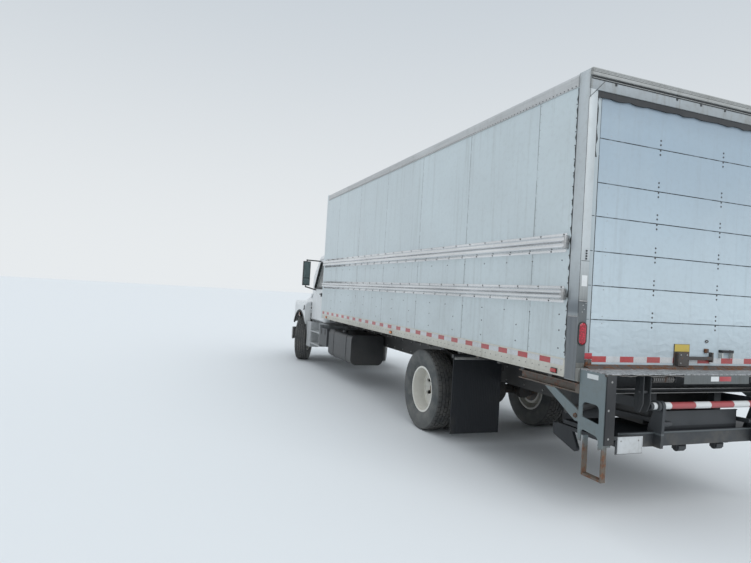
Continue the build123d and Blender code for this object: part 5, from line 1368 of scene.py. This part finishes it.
# The hood and fenders are one moulding in white gelcoat, held down at each rear corner
# by a rubber latch. Black lips edge the wheel arches.
hood_paint = weathered("hood gelcoat", colour(0.74, 0.76, 0.77), 0.24, dirt=colour(0.43, 0.42, 0.39),
                       dirt_amount=0.38, streaks=0.7, rust_amount=0.0, bump=0.06, low=0.5, high=2.0)
dress(hood_paint, "hood")
front_axle = (rear_face + 9.950, 0.560)
arch_reach, arch_steps = 0.632, 40
for side, side_name in sides:
    lip = bmesh.new()
    rows = []
    for number in range(arch_steps + 1):
        angle = radians(30.0 + 120.0 * number / arch_steps)
        rows.append([lip.verts.new((front_axle[0] + radius * cos(angle), y * side,
                                    front_axle[1] + radius * sin(angle)))
                     for radius, y in ((arch_reach - 0.004, 1.150), (arch_reach - 0.004, 1.188),
                                       (arch_reach + 0.030, 1.188), (arch_reach + 0.034, 1.1795))])
    skin(lip, rows)
    to_mesh(f"arch_lip_{side_name}", lip, seal_rubber, "hood")
    box_piece(f"hood_latch_{side_name}",
              [((rear_face + 9.475, 1.178 * side, 1.255), (rear_face + 9.520, 1.192 * side, 1.345)),
               ((rear_face + 9.462, 1.190 * side, 1.238), (rear_face + 9.533, 1.204 * side, 1.262))],
              seal_rubber, "hood", 0.004)

# The grille is moulded black with bare edges, over a fine wire screen. The lamps sit in
# silvered bowls behind clear covers, with an amber turn lamp at the outer end.
grille_plastic = weathered("grille plastic", colour(0.075, 0.078, 0.080), 0.32,
                           dirt=colour(0.15, 0.14, 0.125), dirt_amount=0.35, streaks=0.4, bump=0.1,
                           low=0.8, high=1.5)
dress(grille_plastic, "grille")
nose = rear_face + 10.930
wires = bmesh.new()
wire_pitch, wire_count = 0.03, 29
for number in range(wire_count):
    y = wire_pitch * (number - (wire_count - 1) / 2)
    slab(wires, (nose - 0.040, y - 0.002, 0.950), (nose - 0.037, y + 0.002, 1.330))
to_mesh("grille_screen", wires, grille_plastic, "hood")

lens_clear, tree, shader = new_material("lamp cover")
connect(tree, shader, colour(0.75, 0.78, 0.80), 0.05)
shader.inputs["Alpha"].default_value = 0.22
dress(lens_clear, "headlamps")
silvered, tree, shader = new_material("silvered bowl")
connect(tree, shader, colour(0.78, 0.79, 0.80), 0.12, metallic=1.0)
lamp_slope = radians(14.9)
for side, side_name in sides:
    aim = Matrix.Translation((nose - 0.118, 0.795 * side, 1.138)) @ Matrix.Rotation(lamp_slope * side, 4,
        "Z")
    back = bmesh.new()
    bmesh.ops.create_cube(back, size=1.0,
                          matrix=aim @ Matrix.Translation((-0.030, 0, 0))
                          @ Matrix.Diagonal((0.010, 0.395, 0.262, 1)))
    to_mesh(f"lamp_back_{side_name}", back, seal_rubber, "hood")
    bowls = bmesh.new()
    for shift, reach in ((0.045, 0.090), (-0.120, 0.072)):
        place = aim @ Matrix.Translation((0.008, shift * side, 0)) @ Matrix.Rotation(radians(90), 4, "Y")
        bmesh.ops.create_cone(bowls, cap_ends=False, segments=32, radius1=reach * 0.35, radius2=reach,
                              depth=0.060, matrix=place)
        bmesh.ops.create_uvsphere(bowls, u_segments=16, v_segments=8, radius=reach * 0.36,
                                  matrix=aim @ Matrix.Translation((-0.018, shift * side, 0)))
    to_mesh(f"lamp_bowls_{side_name}", bowls, silvered, "hood", smooth=50)
    turn_lamp = bmesh.new()
    bmesh.ops.create_cube(turn_lamp, size=1.0, matrix=aim @ Matrix.Translation((0.000, 0.168 * side, 0))
                          @ Matrix.Diagonal((0.050, 0.050, 0.190, 1)))
    to_mesh(f"turn_lamp_{side_name}", turn_lamp, amber_lens, "hood")

# The bumper is pressed steel, painted silver and chipped along its lower edge.
bumper_paint = weathered("bumper silver", colour(0.34, 0.35, 0.355), 0.34, metallic=0.5,
                         dirt=colour(0.22, 0.205, 0.18), dirt_amount=0.5, streaks=0.6, rust_amount=0.10,
                         bump=0.15, low=0.3, high=1.0)
dress(bumper_paint, "front_bumper")
studs("bumper_studs", "root", zinc, [(rear_face + 10.966 - 0.006, y, z)
                                                     for y in (-0.44, 0.44) for z in (0.50, 0.66)],
      (1, 0, 0), 0.010, 0.006, 8, 0.6)

# Each seat is a bucket of foam in grey cloth: a cushion and a back that swell between
# their seams, on the steel box under it.
seat_cloth, tree, shader = new_material("seat cloth")
place, along, across, height = place_in(tree)
weave = times(tree, maths(tree, "SINE", times(tree, across, 2400)),
              maths(tree, "SINE", times(tree, plus(tree, along, height), 2400)))
wear = noise(tree, place, 9, 4)
tone = blend_colours(tree, spread(tree, wear, 0.35, 0.7), colour(0.085, 0.088, 0.095),
                     colour(0.135, 0.138, 0.145))
connect(tree, shader, tone, 0.9, weave, 0.25, 0.0006)
shader.inputs["Sheen Weight"].default_value = 0.3
seat_rear = rear_face + 8.420


def pad(shape, low, high, lean_back=0.0, rows=12, swell=0.022):
    """Adds a crowned pad with two sewn channels: a box whose faces bulge between its edges."""
    low, high = Vector(low), Vector(high)
    size = high - low
    start = len(shape.verts)
    bmesh.ops.create_cube(shape, size=2.0)
    shape.verts.ensure_lookup_table()
    fresh = shape.verts[start:]
    edges = list({edge for vert in fresh for edge in vert.link_edges})
    bmesh.ops.subdivide_edges(shape, edges=edges, cuts=rows, use_grid_fill=True)
    shape.verts.ensure_lookup_table()
    thin_axis = min(range(3), key=lambda axis: size[axis])
    for vert in shape.verts[start:]:
        unit = vert.co.copy()
        shape_share = [1 - abs(unit[axis]) ** 3 for axis in range(3)]
        crown = 1.0
        for axis in range(3):
            if axis != thin_axis:
                crown *= shape_share[axis]
        channel = min(abs(abs(unit.y) - 0.52) / 0.09, 1.0)
        crown = crown * (0.35 + 0.65 * channel)
        for axis in range(3):
            edge_pull = 1 - 0.055 * max(abs(unit[other]) ** 6 for other in range(3) if other != axis)
            unit[axis] *= edge_pull
        unit[thin_axis] *= 0.80 + 0.20 * crown + swell * crown / size[thin_axis]
        point = low + Vector(((unit.x + 1) / 2 * size.x, (unit.y + 1) / 2 * size.y,
                              (unit.z + 1) / 2 * size.z))
        point.x -= lean_back * (point.z - low.z)
        vert.co = point


seats_shape = bmesh.new()
for side in (1, -1):
    low_y, high_y = sorted((0.235 * side, 0.715 * side))
    pad(seats_shape, (seat_rear + 0.135, low_y, 1.318), (seat_rear + 0.640, high_y, 1.492))
    pad(seats_shape, (seat_rear + 0.085, low_y, 1.420), (seat_rear + 0.205, high_y, 2.058), 0.130)
seats_piece = to_mesh("seat_pads", seats_shape, seat_cloth, "root", smooth=60)
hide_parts("seats")
box_piece("seat_feet", [((seat_rear + 0.15, 0.29 * side, 1.296), (seat_rear + 0.57, 0.66 * side, 1.322))
                        for side in (1, -1)], dash_vinyl, "root", 0.003)

# The lift gate's steel is painted grey, worn through and muddy. Its side plates stay light, the
# channels and stirrups at their feet have rusted, and everything that works under the deck
# is drawn near black: grease, and painted shade under the deck.
# Near black for grease and for the shade under the deck: painted shade.
grease_and_shade_black = weathered("greasy black steel in shade", colour(0.009, 0.013, 0.018), 0.42,
                         dirt=colour(0.040, 0.042, 0.042), dirt_amount=0.34, streaks=0.3,
                         rust_amount=0.10, bump=0.5, low=0.3, high=1.3)
gate_paint, tree, shader = new_material("gate grey paint")
place, along, across, height = place_in(tree)
out_y = magnitude(tree, across)
worn = weather(tree, colour(0.150, 0.190, 0.203), 0.45, dirt=colour(0.125, 0.125, 0.105), dirt_amount=0.5,
               streaks=0.8, rust_amount=0.22, low=0.5, high=1.4)
# Between the side plates, under the deck and body, the gate is drawn near black: painted shade.
inside = maths(tree, "MAXIMUM", below(tree, out_y, 1.120),
               times(tree, above(tree, along, rear_face + 0.002), below(tree, out_y, 1.136)))
dark = weather(tree, colour(0.016, 0.020, 0.025), 0.45, dirt=colour(0.055, 0.056, 0.052),
               dirt_amount=0.38, streaks=0.4, rust_amount=0.18, low=0.5, high=1.4)
rusted = weather(tree, colour(0.10, 0.075, 0.055), 0.7, dirt=colour(0.13, 0.105, 0.08), dirt_amount=0.6,
                 streaks=0.3, rust_amount=0.75, low=0.2, high=1.4)
channel = times(tree, above(tree, along, rear_face + 0.010), above(tree, height, 1.036))
foot_zone = spread(tree, plus(tree, height, times(tree, noise(tree, place, 18, 3), 0.12)), 0.76, 0.68)
rusty_zone = maths(tree, "MAXIMUM", times(tree, channel, 0.9), foot_zone)
tint = blend_colours(tree, rusty_zone, worn["Colour"], rusted["Colour"])
tint = blend_colours(tree, inside, tint, dark["Colour"])
connect(tree, shader, tint, 0.52, plus(tree, worn["Height"], rusted["Height"]), 0.5, 0.0025, 0.1)
dress(gate_paint, "gate_side_plates", "gate_frame")
dress(grease_and_shade_black, "gate_arms", "gate_links")
# The folded platform is drawn near black, and darker still towards the body: painted shade under the deck.
platform_steel, tree, shader = new_material("platform steel")
place, along, across, height = place_in(tree)
worn = weather(tree, colour(0.012, 0.017, 0.023), 0.42, dirt=colour(0.045, 0.046, 0.045),
               dirt_amount=0.36, streaks=0.4, rust_amount=0.12, low=0.3, high=1.3)
rail_share = times(tree, below(tree, along, rear_face - 0.180), below(tree, height, 0.741))
lip_share = times(tree, below(tree, along, rear_face - 0.180), above(tree, height, 0.744))
lip_share = times(tree, lip_share, below(tree, height, 0.760))
screen_low_shade = times(tree, above(tree, along, rear_face - 0.170), below(tree, height, 0.790))
smear = spread(tree, noise(tree, place, 6, 5), 0.35, 0.7)
tint = blend_colours(tree, times(tree, rail_share, smear), worn["Colour"], colour(0.072, 0.068, 0.060))
tint = blend_colours(tree, times(tree, lip_share, 0.8), tint, colour(0.105, 0.120, 0.125))
tint = blend_colours(tree, times(tree, screen_low_shade, 0.8), tint, colour(0.003, 0.005, 0.008))
connect(tree, shader, tint, worn["Roughness"], worn["Height"], 0.4, 0.002)
dress(platform_steel, "gate_platform")
dock_rubber = weathered("dock rubber", colour(0.016, 0.018, 0.022), 0.75, dirt=colour(0.06, 0.058, 0.05),
                        dirt_amount=0.4, streaks=0.3, bump=0.6, low=0.6, high=1.4)
dress(dock_rubber, "dock_bumpers")
dress(brushed("rod chrome", colour(0.55, 0.56, 0.57), 0.16, "x", metallic=1.0, dirt_amount=0.25,
              streaks=0.0), "gate_rods")

# The deck is checkered plate, brown with wear and rusted along the body. Its skirt and
# the lugs under it hold the folded platform.
deck_plate, tree, shader = new_material("checkered deck plate")
place, along, across, height = place_in(tree)
turned = add_node(tree, "Mapping", {"Vector": place, "Rotation": (0, 0, radians(45)),
                                    "Scale": (26, 26, 26)}).outputs[0]
cells = add_node(tree, "SeparateXYZ", {0: turned}).outputs
bar_one = maths(tree, "PINGPONG", cells["X"], 0.5)
bar_two = maths(tree, "PINGPONG", cells["Y"], 0.5)
raised = times(tree, spread(tree, bar_one, 0.30, 0.42), spread(tree, bar_two, 0.05, 0.20))
grit = noise(tree, place, 30, 5, roughness=0.7)
patches = noise(tree, place, 5, 5)
tone = blend_colours(tree, spread(tree, grit, 0.40, 0.62), colour(0.135, 0.135, 0.135),
                     colour(0.345, 0.35, 0.355))
tone = blend_colours(tree, times(tree, raised, 0.55), tone, colour(0.42, 0.43, 0.43))
edge_rust = times(tree, spread(tree, along, rear_face - 0.10, rear_face - 0.02),
                  spread(tree, patches, 0.30, 0.60))
tone = blend_colours(tree, edge_rust, tone, colour(0.165, 0.085, 0.045))
skirt_tone = weather(tree, colour(0.105, 0.120, 0.124), 0.5, dirt=colour(0.085, 0.084, 0.078),
                     dirt_amount=0.5, streaks=0.8, rust_amount=0.12, low=1.0, high=1.5)
# The deck's underside is drawn near black: painted shade under the deck, over its dirt and rust.
underside_shade_tone = weather(tree, colour(0.014, 0.018, 0.023), 0.5, dirt=colour(0.05, 0.051, 0.048),
                     dirt_amount=0.4, rust_amount=0.18, low=0.9, high=1.6)
below_deck = below(tree, height, 1.2425)
skirt = times(tree, below(tree, along, rear_face - 0.2885), below(tree, magnitude(tree, across), 0.40))
low_colour = blend_colours(tree, skirt, underside_shade_tone["Colour"], skirt_tone["Colour"])
relief = plus(tree, raised, times(tree, grit, 0.3))
connect(tree, shader, blend_colours(tree, below_deck, tone, low_colour), 0.58, relief, 0.6, 0.002, 0.15)
dress(deck_plate, "gate_extension")

# The deck's outer edge is bent down and up again by knocks. Its lip is bare steel.
lip_shape = bmesh.new()
edge_steps = 60
rows = []
for number in range(edge_steps + 1):
    y = -1.198 + 2.396 * number / edge_steps
    sag = 0.0045 * sin(number * 0.9) + 0.003 * sin(number * 2.3 + 1.0)
    rows.append([lip_shape.verts.new((rear_face + x, y, z + sag))
                 for x, z in ((-0.2945, 1.2385), (-0.2945, 1.2325), (-0.288, 1.2325), (-0.288, 1.2385))])
skin(lip_shape, rows)
worn_steel = weathered("worn edge steel", colour(0.22, 0.22, 0.215), 0.5, metallic=0.4,
                       dirt=colour(0.13, 0.10, 0.075), dirt_amount=0.6, rust_amount=0.4, low=1.0,
                       high=1.5)
to_mesh("deck_edge", lip_shape, worn_steel, "root")


def coil_spring(name, axis_start, axis_end, coil_radius, wire_radius, turns, material, body,
                wire_sides=6, steps=14):
    """A wire wound round an axis, as a closed tube along a helix."""
    start, end = Vector(axis_start), Vector(axis_end)
    way = (end - start).normalized()
    first_out = way.orthogonal().normalized()
    second_out = way.cross(first_out)
    shape = bmesh.new()
    rows = []
    for number in range(int(turns * steps) + 1):
        turn = 2 * pi * number / steps
        out = first_out * cos(turn) + second_out * sin(turn)
        centre = start + (end - start) * (number / (turns * steps)) + out * coil_radius
        rows.append([shape.verts.new(centre + out * wire_radius * cos(round_wire) + way * wire_radius
                                     * sin(round_wire))
                     for round_wire in [2 * pi * corner / wire_sides for corner in range(wire_sides)]])
    skin(shape, rows)
    return to_mesh(name, shape, material, body, smooth=50)


spring_steel = weathered("spring steel", colour(0.19, 0.185, 0.18), 0.5, dirt=colour(0.10, 0.075, 0.055),
                         dirt_amount=0.5, rust_amount=0.45, low=0.9, high=1.5)
pin_place = (rear_face - 0.250, 1.204)
for side, side_name in sides:
    coil_spring(f"deck_spring_{side_name}", (pin_place[0], 0.468 * side, pin_place[1]),
                (pin_place[0], 0.698 * side, pin_place[1]), 0.0265, 0.0050, 11, spring_steel, "root")
box_piece("channel_edges", [((rear_face - 0.1145, -1.18, 1.0965), (rear_face - 0.1118, 1.18, 1.1022)),
                            ((rear_face - 0.1145, -1.18, 1.0602), (rear_face - 0.1118, 1.18, 1.0655))],
          cap_metal, "root")
skirt_face = rear_face - 0.2945
box_piece("skirt_slots",
          [((skirt_face - 0.0004, y - 0.019, 1.223), (skirt_face + 0.004, y + 0.019, 1.232))
           for y in (0.312, 0.233, -0.325)], grime_and_shade_black, "root")
box_piece("skirt_reflector_white",
          [((skirt_face - 0.0006, -0.015, 1.190), (skirt_face + 0.001, 0.078, 1.231))], white_sticker,
          "root")
box_piece("skirt_reflector_red",
          [((skirt_face - 0.0006, -0.163, 1.190), (skirt_face + 0.001, -0.023, 1.231))], plain_red,
          "root", 0.001)
studs("deck_bolts", "root", bright_rivet, [(rear_face - 0.05 - 0.19 * row, y, 1.2502)
                                                        for row in (0, 1)
                                                        for y in (-1.05, -0.7, -0.35, 0.0, 0.35, 0.7,
    1.05)], (0, 0, 1), 0.008, 0.003, 8, 0.5)
for side, side_name in sides:
    studs(f"bumper_bolts_{side_name}", "root", zinc,
          [(rear_face - 0.2892, y * side, z)
           for y, z in ((1.141, 1.186), (1.163, 0.965), (1.154, 0.744))], (-1, 0, 0), 0.011, 0.006)
    studs(f"brace_bolts_{side_name}", "root", rusty_iron,
          [(rear_face + 0.042, 1.188 * side, 0.857)], (0, side, 0), 0.022, 0.012, 6, 0.8)
    box_piece(f"plate_label_{side_name}",
              [((rear_face - 0.209, 1.2001 * side, 1.186), (rear_face - 0.085, 1.1992 * side, 1.224))],
              white_sticker, "root")

# The licence plate is a thin embossed sheet in its bracket; this one is blank.
licence_sheet = weathered("blank licence plate", colour(0.56, 0.585, 0.60), 0.42,
                          dirt=colour(0.22, 0.21, 0.19), dirt_amount=0.45, streaks=0.5, rust_amount=0.08,
                          low=0.55, high=0.9)
plate_shape = bmesh.new()
plate_face = rear_face - 0.2862
slab(plate_shape, (plate_face, 0.792, 0.622), (rear_face - 0.2834, 1.050, 0.754))
for low, high in (((0.797, 0.627), (1.045, 0.631)), ((0.797, 0.745), (1.045, 0.749)),
                  ((0.797, 0.631), (0.801, 0.745)), ((1.041, 0.631), (1.045, 0.745))):
    slab(plate_shape, (rear_face - 0.2880, *low), (plate_face, *high))
to_mesh("licence_plate", plate_shape, licence_sheet, "root")
studs("licence_screws", "root", zinc, [(plate_face, y, 0.722) for y in (0.836, 1.014)],
      (-1, 0, 0), 0.007, 0.004, 8, 0.6)

# Tape in red and white wraps the cross tube, with a blank label at its left end. It sits
# on the arms' tube and moves with it.
tube_place = (rear_face - 0.245, 0.983)
tube_reach = 0.0287
band_edges = (0.669, 0.476, 0.206, 0.025, -0.249, -0.443, -0.669)
band_finishes = (white_sticker, plain_red, white_sticker, plain_red, white_sticker, plain_red)


def sleeve(shape, place, radius, low_y, high_y, sides=24):
    """Adds a thin sleeve about an axis along y."""
    turned = Matrix.Translation((place[0], (low_y + high_y) / 2, place[1])) @ Matrix.Rotation(radians(90),
        4, "X")
    bmesh.ops.create_cone(shape, cap_ends=True, segments=sides, radius1=radius, radius2=radius,
                          depth=abs(high_y - low_y), matrix=turned)


for number, finish in enumerate(band_finishes):
    band = bmesh.new()
    sleeve(band, tube_place, tube_reach, band_edges[number + 1] + 0.0006, band_edges[number] - 0.0006)
    to_mesh(f"tube_band_{number + 1}", band, finish, "gate_arms", smooth=40)
